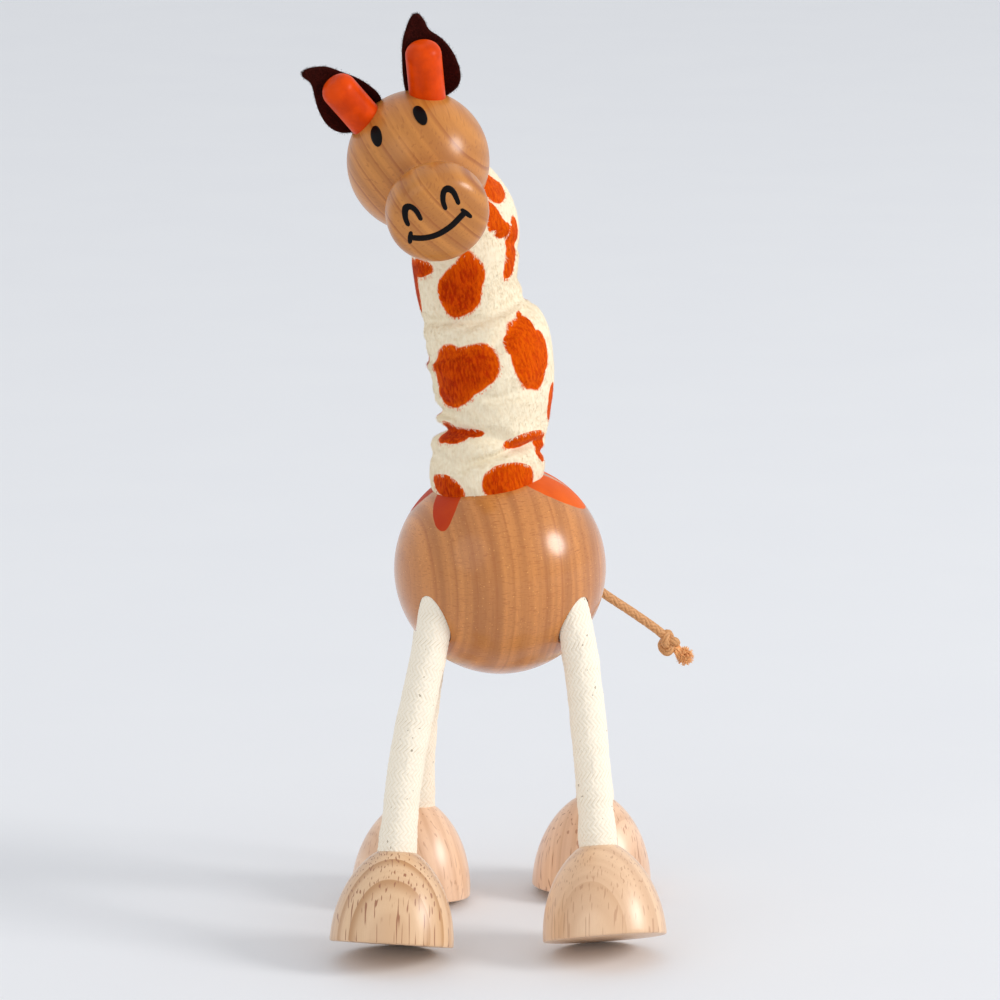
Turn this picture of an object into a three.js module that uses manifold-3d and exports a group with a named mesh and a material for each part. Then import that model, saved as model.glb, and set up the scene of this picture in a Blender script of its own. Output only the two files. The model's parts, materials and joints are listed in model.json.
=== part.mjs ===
// A bendable wooden giraffe: a turned body ball, a turned head with its snout, rope legs and a plush neck
// over soft steel wires, domed hooves, painted horn pegs, felt ears and a knotted cord tail.
// Units are millimetres. +Z is up, the giraffe faces -Y, and its own left side is +X.
import * as THREE from "three";
import { mergeVertices } from "three/addons/utils/BufferGeometryUtils.js";
import Module from "manifold-3d";

const wasm = await Module();
wasm.setup();

// ---- Driving dimensions ----
const BODY_RADIUS = 22.5; // a 45 mm turned ball
const BODY_CENTRE = new THREE.Vector3(0, 0, 77);
const HEAD_RADIUS = 14.8; // a turned ball of just under 30 mm
const HEAD_CENTRE = new THREE.Vector3(-16.95, -8, 165.4);
const HEAD_PITCH = 22.4; // degrees, nose down
const HEAD_ROLL = -24.6; // degrees, crown towards the giraffe's right
const HEAD_YAW = 12.9; // degrees, nose towards the giraffe's left
const SNOUT_RADIUS = 10.6;
const SNOUT_CENTRE = 19.8; // along the nose axis, from the head's centre
const SNOUT_HALF_LENGTH = 6.4;

const ROPE_RADIUS = 3.8;
const WIRE_RADIUS = 0.9;
const GAP = 0.3; // clearance between pieces that touch
const SOCKET_RADIUS = ROPE_RADIUS + GAP;
const WIRE_BORE = WIRE_RADIUS + GAP;
const WIRE_BREAK = SOCKET_RADIUS + 0.2; // how far a wire stops short of the next length's dome
const RIM = 2.0; // how far a rope's hollow end stops short of a bending point
const NECK_TOP_RIM = 3.0; // the same at the head, where the rope bends further

const HOOF_RADIUS = 13;
const HOOF_HEIGHT = 19.2;
const HOOF_TOP_RADIUS = 4.4;
const HOOF_SIDE_ARC = 21.7; // radius of the hoof's side, upright at the sole
const HOOF_BORE_FLOOR = 6; // height of the wire hole's end above the sole
const ANKLE_HEIGHT = HOOF_HEIGHT + RIM;

const SOCKET_DEPTH = 6; // rope beyond the socket point, inside the body
const WIRE_EXTRA = 3; // wire beyond the rope's end

const HORN_RADIUS = 3.75;
const HORN_LENGTH = 16.7;
const HORN_EMBED = 5;
const HORN_ROUND = 2.8;
const HORN_BASE = new THREE.Vector3(6.9, 3.2, 12.3); // left horn, on the head ball, in the head's frame
const HORN_SPLAY = 16; // degrees outwards
const HORN_SWEEP = 5; // degrees backwards

const EAR_THICKNESS = 1.2;
const EAR_BEND_RADIUS = 11;
const EAR_SLOT_DEPTH = 3.4;
// Each row up an ear: its inner edge, its outer edge and its height above the head.
const EAR_ROWS = [
  [-3.3, 3.3, -EAR_SLOT_DEPTH], [-3.4, 3.4, 0.2], [-4.5, 5.6, 0.9], [-4.9, 6.7, 2.6], [-5.0, 6.9, 4.4],
  [-4.6, 6.4, 6.2], [-3.8, 5.2, 8.2], [-2.8, 3.9, 10.2], [-2.0, 2.5, 12], [-1.1, 1.3, 13.6],
];
const EAR_LEAN = { left: -1.0, right: 3.6 }; // how far each tip is bent outwards

const TAIL_RADIUS = 1.0;
const TAIL_HOLE_RADIUS = 1.3;
const TAIL_HOLE_DEPTH = 9;

const FOAM_RADIUS = 9.4;
const CORE_BORE = ROPE_RADIUS + 0.55;
const NOTCH_ANGLE = 14; // degrees each side, so that neck lengths can lean on each other

const ROUND = 12; // sides of a rope
const FINE = 18; // sides of a hoof or a neck length

// Each leg: where its rope is aimed inside the body, its bending points, and how its hoof stands.
// toe is how far the toe is tilted up and lean how far the hoof's top leans to +X, in degrees.
const LEGS = {
  front_right: {
    socket: [-12.3, -12.2, 74.0], hip: [-15.2, -17.6, 61.3], knee: [-19.5, -23.0, 41.0],
    hoof: [-22.7, -33.3], toe: 17.8, lean: 3.7,
  },
  front_left: {
    socket: [14.0, -10.4, 73.0], hip: [17.0, -15.2, 61.0], knee: [19.2, -19.9, 41.0],
    hoof: [22.0, -30.8], toe: 20.4, lean: -4.3,
  },
  rear_right: {
    socket: [-13.1, 10.8, 74.7], hip: [-15.2, 11.9, 57.0], knee: [-17.3, 13.2, 39.5],
    hoof: [-19.5, 12.3], toe: 6.5, lean: 3.7,
  },
  rear_left: {
    socket: [11.9, 13.3, 74.7], hip: [15.9, 15.4, 60.0], knee: [18.9, 17.8, 42.0],
    hoof: [20.0, 18.5], toe: 5.4, lean: 1.8,
  },
};

// The neck's core, from inside the body to inside the head.
const NECK_START = new THREE.Vector3(-3.0, 0, 89);
const NECK_LOW = new THREE.Vector3(-1.7, 0.3, 107);
const NECK_MIDDLE = new THREE.Vector3(-5.2, 2.6, 134.5);
const NECK_TOP = new THREE.Vector3(-8.4, 4.8, 150.5);
const NECK_IN_HEAD = 6.8; // how far from the head's centre the rope stops
const SLEEVE_RADII = { base: 11.9, lower: 12.8, upper: 11.4, tip: 10.3 };

// The tail's route, from its pivot just outside the body.
const TAIL_ROUTE = [
  [3.2, 23.7, 79.0], [4.9, 26.1, 77.9], [8.8, 27.7, 75.3], [15.0, 28.5, 70.6],
  [22.6, 29.2, 64.5], [29.2, 31.0, 59.6], [35.2, 32.4, 54.9],
];
const KNOT = { centre: [37.0, 33.0, 52.4], radii: [1.9, 1.9, 2.7] };
const TUFT = { centre: [40.6, 33.6, 49.2], radii: [2.0, 2.0, 2.2] };

// ---- Materials ----
const finish = (color, roughness, metalness = 0) => () =>
  new THREE.MeshStandardMaterial({ color, roughness, metalness });
const stainedBeech = finish(0xb4743f, 0.35);
const honeyBeech = finish(0xcf9355, 0.4);
const paleBeech = finish(0xe6bd94, 0.5);
const orangePaint = finish(0xd8480e, 0.35);
const brownFelt = finish(0x33110c, 0.95);
const creamPlush = finish(0xf2e2c4, 0.95);
const cottonRope = finish(0xeee6d8, 0.9);
const foam = finish(0xe9e6df, 0.95);
const tanCord = finish(0xc28b5c, 0.7);
const steel = finish(0x9a9da0, 0.4, 1);

// ---- Solids ----
function solidOf(geometry) {
  const bare = geometry.index ? geometry.toNonIndexed() : geometry.clone();
  bare.deleteAttribute("normal");
  bare.deleteAttribute("uv");
  const merged = mergeVertices(bare, 1e-4);
  return new wasm.Manifold(
    new wasm.Mesh({
      numProp: 3,
      vertProperties: merged.attributes.position.array,
      triVerts: new Uint32Array(merged.index.array),
    }),
  );
}

function geometryOf(solid) {
  const mesh = solid.getMesh();
  const geometry = new THREE.BufferGeometry();
  geometry.setAttribute("position", new THREE.BufferAttribute(mesh.vertProperties, 3));
  geometry.setIndex(new THREE.BufferAttribute(mesh.triVerts, 1));
  geometry.computeVertexNormals();
  return geometry;
}

// A turned shape about +Z. The profile holds [radius, height] pairs, up the outside.
function turned(profile, sides) {
  const points = profile.map(([radius, height]) => new THREE.Vector2(radius, height));
  return new THREE.LatheGeometry(points, sides).rotateX(Math.PI / 2);
}

// Points along a circle about (centreR, centreZ) in a turning profile, from one angle to another in degrees.
function arc(centreR, centreZ, radius, from, to, steps) {
  return Array.from({ length: steps + 1 }, (_, i) => {
    const angle = THREE.MathUtils.degToRad(from + ((to - from) * i) / steps);
    return [centreR + radius * Math.cos(angle), centreZ + radius * Math.sin(angle)];
  });
}

const UP = new THREE.Vector3(0, 0, 1);
const point = (xyz) => new THREE.Vector3(...xyz);
const direction = (from, to) => to.clone().sub(from).normalize();

// Turns a shape's +Z to an axis and moves its origin to a place.
function aimed(geometry, origin, axis) {
  const turn = new THREE.Quaternion().setFromUnitVectors(UP, axis);
  return geometry.clone().applyQuaternion(turn).translate(origin.x, origin.y, origin.z);
}

function rod(radius, from, to, sides) {
  const length = from.distanceTo(to);
  const bar = turned([[0, 0], [radius, 0], [radius, length], [0, length]], sides);
  return aimed(bar, from, direction(from, to));
}

function ball(radius, centre, around = 32, up = 20) {
  return new THREE.SphereGeometry(radius, around, up)
    .rotateX(Math.PI / 2)
    .translate(centre.x, centre.y, centre.z);
}

// ---- The scene graph ----
const giraffe = new THREE.Group();
giraffe.name = "giraffe";

function add(name, geometry, material, parent = giraffe) {
  const mesh = new THREE.Mesh(geometry, material());
  mesh.name = name;
  parent.add(mesh);
  return mesh;
}

// Adds a shape made along +Z, placed by the mesh's own position and rotation.
function addAimed(name, geometry, material, origin, axis) {
  const mesh = add(name, geometry, material);
  mesh.position.copy(origin);
  mesh.quaternion.setFromUnitVectors(UP, axis);
  return mesh;
}

// ---- Ropes and wires ----
// One length of wire-cored rope along +Z. "flat" is a cut end, "dome" a ball round a bending point and
// "cup" a hollow that clears the next length's dome.
function ropeLength(length, startEnd, finishEnd, rim = RIM) {
  const clear = SOCKET_RADIUS;
  const boreAngle = THREE.MathUtils.radToDeg(Math.acos(WIRE_BORE / ROPE_RADIUS));
  const rimAngle = THREE.MathUtils.radToDeg(Math.asin(rim / clear));
  const deepAngle = THREE.MathUtils.radToDeg(Math.acos(WIRE_BORE / clear));
  const start =
    startEnd === "dome"
      ? arc(0, 0, ROPE_RADIUS, -boreAngle, 0, 4)
      : [[WIRE_BORE, 0], [ROPE_RADIUS, 0]];
  const end = {
    dome: arc(0, length, ROPE_RADIUS, 0, boreAngle, 4),
    cup: [[ROPE_RADIUS, length - rim], ...arc(0, length, clear, -rimAngle, -deepAngle, 3)],
    flat: [[ROPE_RADIUS, length], [WIRE_BORE, length]],
  }[finishEnd];
  const outline = [...start, ...end];
  return turned([...outline, outline[0]], ROUND);
}

function addRope(name, from, to, startEnd, finishEnd, rim) {
  const shape = ropeLength(from.distanceTo(to), startEnd, finishEnd, rim);
  addAimed(name, shape, cottonRope, from, direction(from, to));
}

function addWire(name, from, to, startGap, endGap) {
  const axis = direction(from, to);
  const start = from.clone().addScaledVector(axis, startGap);
  const length = from.distanceTo(to) - startGap - endGap;
  const bar = turned([[0, 0], [WIRE_RADIUS, 0], [WIRE_RADIUS, length], [0, length]], 8);
  addAimed(name, bar, steel, start, axis);
}

// ---- Legs ----
function hoofProfile() {
  const sideTop = THREE.MathUtils.radToDeg(Math.asin(HOOF_HEIGHT / HOOF_SIDE_ARC));
  const side = arc(HOOF_RADIUS - HOOF_SIDE_ARC, 0, HOOF_SIDE_ARC, 1.2, sideTop, 5);
  side[side.length - 1] = [HOOF_TOP_RADIUS, HOOF_HEIGHT];
  const rimAngle = THREE.MathUtils.radToDeg(Math.asin(RIM / SOCKET_RADIUS));
  const deepAngle = THREE.MathUtils.radToDeg(Math.acos(WIRE_BORE / SOCKET_RADIUS));
  const cup = arc(0, ANKLE_HEIGHT, SOCKET_RADIUS, -rimAngle, -deepAngle, 3);
  const bore = [[WIRE_BORE, HOOF_BORE_FLOOR], [0, HOOF_BORE_FLOOR]];
  return [[0, 0], [HOOF_RADIUS - 0.4, 0], ...side, ...cup, ...bore];
}

// The hoof's upward axis and the centre of its sole, which rests on its lowest edge.
function hoofStance(leg) {
  const slope = (degrees) => Math.tan(THREE.MathUtils.degToRad(degrees));
  const axis = new THREE.Vector3(slope(leg.lean), slope(leg.toe), 1).normalize();
  const lift = (HOOF_RADIUS - 0.4) * Math.sqrt(1 - axis.z * axis.z);
  return { axis, sole: new THREE.Vector3(leg.hoof[0], leg.hoof[1], lift) };
}

const sockets = [];
const hoofShape = turned(hoofProfile(), FINE);
for (const [name, leg] of Object.entries(LEGS)) {
  const [hip, knee, socket] = [leg.hip, leg.knee, leg.socket].map(point);
  const { axis, sole } = hoofStance(leg);
  const ankle = sole.clone().addScaledVector(axis, ANKLE_HEIGHT);
  const ropeEnd = socket.clone().addScaledVector(direction(hip, socket), SOCKET_DEPTH);
  const wireEnd = ropeEnd.clone().addScaledVector(direction(hip, socket), WIRE_EXTRA);
  const boreEnd = sole.clone().addScaledVector(axis, HOOF_BORE_FLOOR + GAP);

  addRope(`${name}_rope_root`, ropeEnd, hip, "flat", "cup");
  addRope(`${name}_rope_upper`, hip, knee, "dome", "cup");
  addRope(`${name}_rope_lower`, knee, ankle, "dome", "dome");
  addWire(`${name}_wire_root`, wireEnd, hip, GAP, WIRE_BREAK);
  addWire(`${name}_wire_upper`, hip, knee, 0, WIRE_BREAK);
  addWire(`${name}_wire_lower`, knee, ankle, 0, 0);
  addWire(`${name}_wire_foot`, ankle, boreEnd, WIRE_BREAK, 0);
  addAimed(`${name}_hoof`, hoofShape, paleBeech, sole, axis);
  sockets.push({ mouth: hip, ropeEnd, wireEnd });
}

// ---- Head ----
const head = new THREE.Group();
head.position.copy(HEAD_CENTRE);
const degrees = (angle) => THREE.MathUtils.degToRad(angle);
head.rotation.set(degrees(HEAD_PITCH), degrees(HEAD_ROLL), degrees(HEAD_YAW), "ZXY");
giraffe.add(head);
head.updateMatrixWorld(true);

// A snout bead's radius at a distance along the nose: a rounded, flat-fronted turning.
function snoutRadius(along) {
  const share = Math.abs(along - SNOUT_CENTRE) / SNOUT_HALF_LENGTH;
  return SNOUT_RADIUS * Math.pow(Math.max(0, 1 - Math.pow(share, 2.6)), 1 / 2.6);
}

function headProfile() {
  const back = arc(0, 0, HEAD_RADIUS, -90, 56, 14);
  back[0][0] = 0;
  const shares = [-0.93, -0.75, -0.45, 0, 0.4, 0.65, 0.83, 0.94, 1];
  const snout = shares.map((share) => {
    const along = SNOUT_CENTRE + share * SNOUT_HALF_LENGTH;
    return [snoutRadius(along), along];
  });
  snout[snout.length - 1][0] = 0;
  return [...back.filter(([, along]) => along < snout[0][1] - 0.6), ...snout];
}

// The horn's root on the head ball and its direction, in the head's frame. side is 1 for left, -1 for right.
function hornPlace(side) {
  const root = new THREE.Vector3(side * HORN_BASE.x, HORN_BASE.y, HORN_BASE.z);
  const axis = new THREE.Vector3(
    side * Math.tan(degrees(HORN_SPLAY)), Math.tan(degrees(HORN_SWEEP)), 1,
  ).normalize();
  return { axis, start: root.addScaledVector(axis, -HORN_EMBED) };
}

// A closed skin over rings of points that each hold the same number, with a flat cap at either end.
function loft(rings) {
  const around = rings[0].length;
  const positions = rings.flat().flatMap(({ x, y, z }) => [x, y, z]);
  const index = [];
  for (let row = 0; row + 1 < rings.length; row++) {
    for (let i = 0; i < around; i++) {
      const [a, b] = [row * around + i, row * around + ((i + 1) % around)];
      index.push(a, b, b + around, a, b + around, a + around);
    }
  }
  for (const [row, turn] of [[0, false], [rings.length - 1, true]]) {
    const first = row * around;
    for (let i = 0; i + 1 < around / 2; i++) {
      const quad = [first + i, first + i + 1, first + around - 2 - i, first + around - 1 - i];
      const [p, q, r, t] = turn ? quad : [...quad].reverse();
      index.push(p, q, r, p, r, t);
    }
  }
  const geometry = new THREE.BufferGeometry();
  geometry.setAttribute("position", new THREE.Float32BufferAttribute(positions, 3));
  geometry.setIndex(index);
  geometry.computeVertexNormals();
  return geometry;
}

// A leaf-shaped felt ear that curls round the back of its horn, with a straight tab that sits in the head.
function earGeometry(side, lean) {
  const across = 6;
  const curl = (x) => -(x * x) / (2 * EAR_BEND_RADIUS);
  const tall = EAR_ROWS[EAR_ROWS.length - 1][2];
  const rings = EAR_ROWS.map(([inner, outer, up]) => {
    const xs = Array.from({ length: across + 1 }, (_, i) => inner + ((outer - inner) * i) / across);
    if (side < 0) xs.reverse();
    const bend = lean * Math.pow(Math.max(0, up) / tall, 2);
    const front = xs.map((x) => new THREE.Vector3(side * (x + bend), curl(x), up));
    const back = xs.map((x) => new THREE.Vector3(side * (x + bend), curl(x) + EAR_THICKNESS, up));
    return [...front, ...back.reverse()];
  });
  const { axis, start } = hornPlace(side);
  const foot = start.addScaledVector(axis, HORN_EMBED + 0.2);
  return aimed(loft(rings), foot.add(new THREE.Vector3(0, HORN_RADIUS + GAP + 0.35, 0)), axis);
}

const toNeck = head.worldToLocal(NECK_TOP.clone()).normalize();
let headSolid = solidOf(turned(headProfile(), 26).rotateX(Math.PI / 2));
for (const [word, side] of [["left", 1], ["right", -1]]) {
  const { axis, start } = hornPlace(side);
  const tip = start.clone().addScaledVector(axis, HORN_LENGTH);
  const hole = rod(HORN_RADIUS + GAP, start.clone().addScaledVector(axis, -GAP), tip, 16);
  const slot = new THREE.BoxGeometry(7.6, EAR_THICKNESS + 1.6, 8);
  const slotBottom = start.clone().addScaledVector(axis, HORN_EMBED + 0.2 - EAR_SLOT_DEPTH - GAP + 4);
  const slotCentre = slotBottom.add(new THREE.Vector3(0, HORN_RADIUS + GAP + 0.35 + 0.3, 0));
  headSolid = headSolid.subtract(solidOf(hole)).subtract(solidOf(aimed(slot, slotCentre, axis)));

  const flat = HORN_RADIUS - HORN_ROUND;
  const dome = arc(flat, HORN_LENGTH - HORN_ROUND, HORN_ROUND, 0, 90, 4);
  const peg = turned([[0, 0], [HORN_RADIUS, 0], ...dome, [0, HORN_LENGTH]], 18);
  add(`${word}_horn_peg`, aimed(peg, start, axis), orangePaint, head);
  add(`${word}_ear`, earGeometry(side, EAR_LEAN[word]), brownFelt, head);
}
const neckHole = rod(
  SOCKET_RADIUS,
  toNeck.clone().multiplyScalar(NECK_IN_HEAD - GAP),
  toNeck.clone().multiplyScalar(HEAD_RADIUS + 6), 16,
);
const neckWireHole = rod(WIRE_BORE, new THREE.Vector3(), toNeck.clone().multiplyScalar(HEAD_RADIUS), 8);
headSolid = headSolid.subtract(solidOf(neckHole)).subtract(solidOf(neckWireHole));
add("head", geometryOf(headSolid), honeyBeech, head);

// ---- Neck ----
const ropeStop = HEAD_CENTRE.clone().addScaledVector(direction(HEAD_CENTRE, NECK_TOP), NECK_IN_HEAD);
const wireStop = HEAD_CENTRE.clone().addScaledVector(direction(HEAD_CENTRE, NECK_TOP), GAP);
const neckWireStart = NECK_START.clone().addScaledVector(direction(NECK_LOW, NECK_START), WIRE_EXTRA);

addRope("neck_rope_root", NECK_START, NECK_LOW, "flat", "cup");
addRope("neck_rope_lower", NECK_LOW, NECK_MIDDLE, "dome", "cup");
addRope("neck_rope_upper", NECK_MIDDLE, NECK_TOP, "dome", "cup", NECK_TOP_RIM);
addRope("neck_rope_tip", NECK_TOP, ropeStop, "dome", "flat");
addWire("neck_wire_root", neckWireStart, NECK_LOW, GAP, WIRE_BREAK);
addWire("neck_wire_lower", NECK_LOW, NECK_MIDDLE, 0, WIRE_BREAK);
addWire("neck_wire_upper", NECK_MIDDLE, NECK_TOP, 0, WIRE_BREAK);
addWire("neck_wire_tip", NECK_TOP, wireStop, 0, 0);

// What is cut away on the far side of a bending point: all that lies beyond a shallow cone whose tip is
// at the point, so that two lengths lean on each other only past twice the notch angle.
function notch(pivot, towards) {
  const reach = 40;
  const drop = reach * Math.tan(degrees(NOTCH_ANGLE));
  const cone = turned([[0, -GAP / 2], [reach, -drop], [reach, reach], [0, reach]], FINE);
  return solidOf(aimed(cone, pivot, towards));
}

// A neck length between two cutters, hollow round the core.
function neckLength(from, to, inner, outer, cutters) {
  const axis = direction(from, to);
  const start = from.clone().addScaledVector(axis, -16);
  const end = to.clone().addScaledVector(axis, 16);
  let solid = solidOf(rod(outer, start, end, FINE)).subtract(solidOf(rod(inner, start, end, 12)));
  for (const cutter of cutters) solid = solid.subtract(cutter);
  const main = solid.decompose().sort((a, b) => b.volume() - a.volume())[0];
  return geometryOf(main);
}

// The direction halfway between the lengths that meet at a pivot.
function bisector(before, pivot, after) {
  return direction(before, pivot).add(direction(pivot, after)).normalize();
}

const lowWay = bisector(NECK_START, NECK_LOW, NECK_MIDDLE);
const middleWay = bisector(NECK_LOW, NECK_MIDDLE, NECK_TOP);
const topWay = bisector(NECK_MIDDLE, NECK_TOP, HEAD_CENTRE);
const above = (pivot, way) => notch(pivot, way);
const below = (pivot, way) => notch(pivot, way.clone().negate());
const bodyCutter = solidOf(ball(BODY_RADIUS + GAP, BODY_CENTRE, 24, 14));
const headCutter = solidOf(ball(HEAD_RADIUS + GAP, HEAD_CENTRE, 24, 14));
const underBody = solidOf(new THREE.BoxGeometry(80, 80, 40).translate(0, 0, BODY_CENTRE.z));
const farSide = HEAD_CENTRE.clone().addScaledVector(direction(NECK_TOP, HEAD_CENTRE), 40);
const pastHead = solidOf(rod(40, HEAD_CENTRE, farSide, 8));

const R = SLEEVE_RADII;
add("neck_sleeve_base", neckLength(NECK_START, NECK_LOW, CORE_BORE, R.base,
  [bodyCutter, underBody, above(NECK_LOW, lowWay)]), creamPlush);
add("neck_sleeve_lower", neckLength(NECK_LOW, NECK_MIDDLE, FOAM_RADIUS + GAP, R.lower,
  [below(NECK_LOW, lowWay), above(NECK_MIDDLE, middleWay)]), creamPlush);
add("neck_sleeve_upper", neckLength(NECK_MIDDLE, NECK_TOP, FOAM_RADIUS + GAP, R.upper,
  [below(NECK_MIDDLE, middleWay), above(NECK_TOP, topWay)]), creamPlush);
add("neck_sleeve_tip", neckLength(NECK_TOP, HEAD_CENTRE, CORE_BORE, R.tip,
  [below(NECK_TOP, topWay), headCutter, pastHead]), creamPlush);
add("neck_foam_lower", neckLength(NECK_LOW, NECK_MIDDLE, CORE_BORE, FOAM_RADIUS,
  [below(NECK_LOW, lowWay), above(NECK_MIDDLE, middleWay)]), foam);
add("neck_foam_upper", neckLength(NECK_MIDDLE, NECK_TOP, CORE_BORE, FOAM_RADIUS,
  [below(NECK_MIDDLE, middleWay), above(NECK_TOP, topWay)]), foam);

// ---- Body ----
const tailPivot = point(TAIL_ROUTE[0]);
const tailInwards = direction(tailPivot, BODY_CENTRE);
const tailHoleEnd = tailPivot.clone().addScaledVector(tailInwards, TAIL_HOLE_DEPTH);

let bodySolid = solidOf(ball(BODY_RADIUS, BODY_CENTRE, 30, 18));
for (const { mouth, ropeEnd, wireEnd } of sockets) {
  const holeEnd = ropeEnd.clone().addScaledVector(direction(mouth, ropeEnd), GAP);
  bodySolid = bodySolid
    .subtract(solidOf(rod(SOCKET_RADIUS, holeEnd, mouth, 12)))
    .subtract(solidOf(rod(WIRE_BORE, wireEnd, mouth, 8)));
}
bodySolid = bodySolid
  .subtract(solidOf(rod(SOCKET_RADIUS, NECK_START.clone().addScaledVector(UP, -GAP), NECK_LOW, 12)))
  .subtract(solidOf(rod(WIRE_BORE, neckWireStart, NECK_LOW, 8)))
  .subtract(solidOf(rod(TAIL_HOLE_RADIUS, tailHoleEnd, tailPivot, 10)));
add("body_ball", geometryOf(bodySolid), stainedBeech);

// ---- Tail ----
const stubLength = TAIL_HOLE_DEPTH - TAIL_RADIUS - 2 * GAP;
const stub = turned([[0, 0], [TAIL_RADIUS, 0], [TAIL_RADIUS, stubLength], [0, stubLength]], 8);
const stubStart = tailHoleEnd.clone().addScaledVector(tailInwards, -GAP);
addAimed("tail_root", stub, tanCord, stubStart, tailInwards.clone().negate());

const tailPath = new THREE.CatmullRomCurve3(TAIL_ROUTE.map(point), false, "centripetal");
const section = new THREE.Shape().absarc(0, 0, TAIL_RADIUS, 0, Math.PI * 2);
const cord = new THREE.ExtrudeGeometry(section, {
  steps: 20, curveSegments: 4, bevelEnabled: false, extrudePath: tailPath,
});
add("tail_cord", cord, tanCord);

for (const [name, lump] of [["tail_knot", KNOT], ["tail_tuft", TUFT]]) {
  const shape = new THREE.SphereGeometry(1, 12, 8).scale(...lump.radii);
  const mesh = add(name, shape, tanCord);
  mesh.position.set(...lump.centre);
}

// ---- The part's own frame: the middle of the footprint, on the ground, leaving the tail out ----
giraffe.updateMatrixWorld(true);
const extent = new THREE.Box3();
giraffe.traverse((piece) => {
  if (piece.isMesh && !piece.name.startsWith("tail")) extent.expandByObject(piece, true);
});
const middle = extent.getCenter(new THREE.Vector3());
giraffe.position.set(-middle.x, -middle.y, -extent.min.z);
giraffe.updateMatrixWorld(true);

// Where the piece bends, in the part's own frame.
const bends = { neck_low: NECK_LOW, neck_middle: NECK_MIDDLE, neck_top: NECK_TOP, tail_root: tailPivot };
for (const [name, leg] of Object.entries(LEGS)) {
  const { axis, sole } = hoofStance(leg);
  bends[`${name}_hip`] = point(leg.hip);
  bends[`${name}_knee`] = point(leg.knee);
  bends[`${name}_ankle`] = sole.clone().addScaledVector(axis, ANKLE_HEIGHT);
  bends[`${name}_sole`] = sole;
}
giraffe.userData.bends = Object.fromEntries(
  Object.entries(bends).map(([name, place]) => [name, place.clone().add(giraffe.position).toArray()]),
);

export default giraffe;
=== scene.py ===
"""The visible surfaces of a bendable wooden giraffe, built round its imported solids.

Lengths are given in millimetres in the maker's frame, where the body ball is centred above the origin,
+Z is up, the giraffe faces -Y and its own left side is +X. place() turns them into the model's metres.
"""

import json
import math

import bmesh
import bpy
import numpy as np
from mathutils import Matrix, Vector
from mathutils.bvhtree import BVHTree


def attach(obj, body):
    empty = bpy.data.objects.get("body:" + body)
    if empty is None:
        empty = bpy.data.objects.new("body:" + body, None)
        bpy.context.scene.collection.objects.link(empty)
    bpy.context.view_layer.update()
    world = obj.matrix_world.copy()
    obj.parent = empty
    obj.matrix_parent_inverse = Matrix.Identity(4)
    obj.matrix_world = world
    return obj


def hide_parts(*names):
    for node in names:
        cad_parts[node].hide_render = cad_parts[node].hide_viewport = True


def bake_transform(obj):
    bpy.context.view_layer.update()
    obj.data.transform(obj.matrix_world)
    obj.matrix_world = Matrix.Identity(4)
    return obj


bl_info = {
    "name": "Bendable Giraffe",
    "version": (1, 0, 0),
    "blender": (4, 5, 0),
    "location": "View3D > Sidebar > Giraffe",
    "description": "Builds the visible surfaces of a bendable wooden giraffe round its packed solids",
    "category": "Object",
}

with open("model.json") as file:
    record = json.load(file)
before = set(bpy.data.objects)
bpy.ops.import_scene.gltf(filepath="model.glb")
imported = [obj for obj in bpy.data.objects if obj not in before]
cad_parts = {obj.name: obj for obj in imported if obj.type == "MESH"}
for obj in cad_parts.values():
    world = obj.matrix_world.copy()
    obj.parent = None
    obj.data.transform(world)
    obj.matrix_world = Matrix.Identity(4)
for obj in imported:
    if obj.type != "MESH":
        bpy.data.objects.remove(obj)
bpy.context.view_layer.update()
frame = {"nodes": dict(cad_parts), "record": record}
PIVOTS = {joint["name"]: Vector(joint["pos_m"]) for joint in frame["record"]["behaviour"]["joints"]}

MM = 0.001
TAIL_ROOT = (3.2, 23.7, 79.0)
SHIFT = PIVOTS["tail_swing"] - Vector(TAIL_ROOT) * MM

BODY_CENTRE = (0, 0, 77)
# Up the middle of the neck, which leans and bulges to one side and then the other.
NECK_ROUTE = [
    (-3.2, -1.0, 89), (-2.8, -0.8, 97), (-2.4, -0.2, 103), (-1.6, 0.6, 110), (-1.4, 1.2, 118),
    (-2.3, 1.7, 124.5), (-4.9, 2.3, 131), (-7.0, 3.0, 137), (-7.4, 3.6, 143), (-7.8, 4.8, 150.5),
    (-11.8, -1.6, 158),
]
HEAD_CENTRE = (-16.95, -8, 165.4)
HEAD_PITCH, HEAD_ROLL, HEAD_YAW = 22.4, -24.6, 12.9
SNOUT_CENTRE, SNOUT_HALF_LENGTH, SNOUT_RADIUS = 19.8, 6.4, 10.6
# Where the crease between the ball and the snout lies, and how far round the ball is turned, in degrees.
HEAD_CREASE, HEAD_ARC = 13.2, 147

HORN_RADIUS, HORN_LENGTH, HORN_EMBED, HORN_ROUND = 3.75, 16.7, 5, 2.8
HORN_BASE = (6.9, 3.2, 12.3)
HORN_SPLAY, HORN_SWEEP = 16, 5

HOOF_SIDE_ARC = 21.7
HOOF_TOP_RADIUS = 4.3
HOOF_EDGE = 0.45
ANKLE_HEIGHT = 21.2

# The bores in the body ball: how far a leg's goes past its socket, its length and its play, then the tail's.
LEG_BORE_PAST, LEG_BORE_LENGTH, LEG_BORE_PLAY = 5.8, 34, 0.1
TAIL_BORE_DEPTH, TAIL_BORE_LENGTH, TAIL_BORE_RADIUS = 8, 14, 1.15

# The strands round a braid and its pitch, on the legs and on the tail.
ROPE_BRAID, CORD_BRAID = (24, 1.25), (6, 1.5)
# How far a leg's rope goes on inside the body past its socket, and down from the hoof's top.
ROPE_IN_BODY, ROPE_IN_HOOF = 5.5, 3.5

# How far each side of its pivot bend() reaches along a leg's rope, and along the plush.
ROPE_REACH, PLUSH_REACH = 4.0, 6.0

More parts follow.
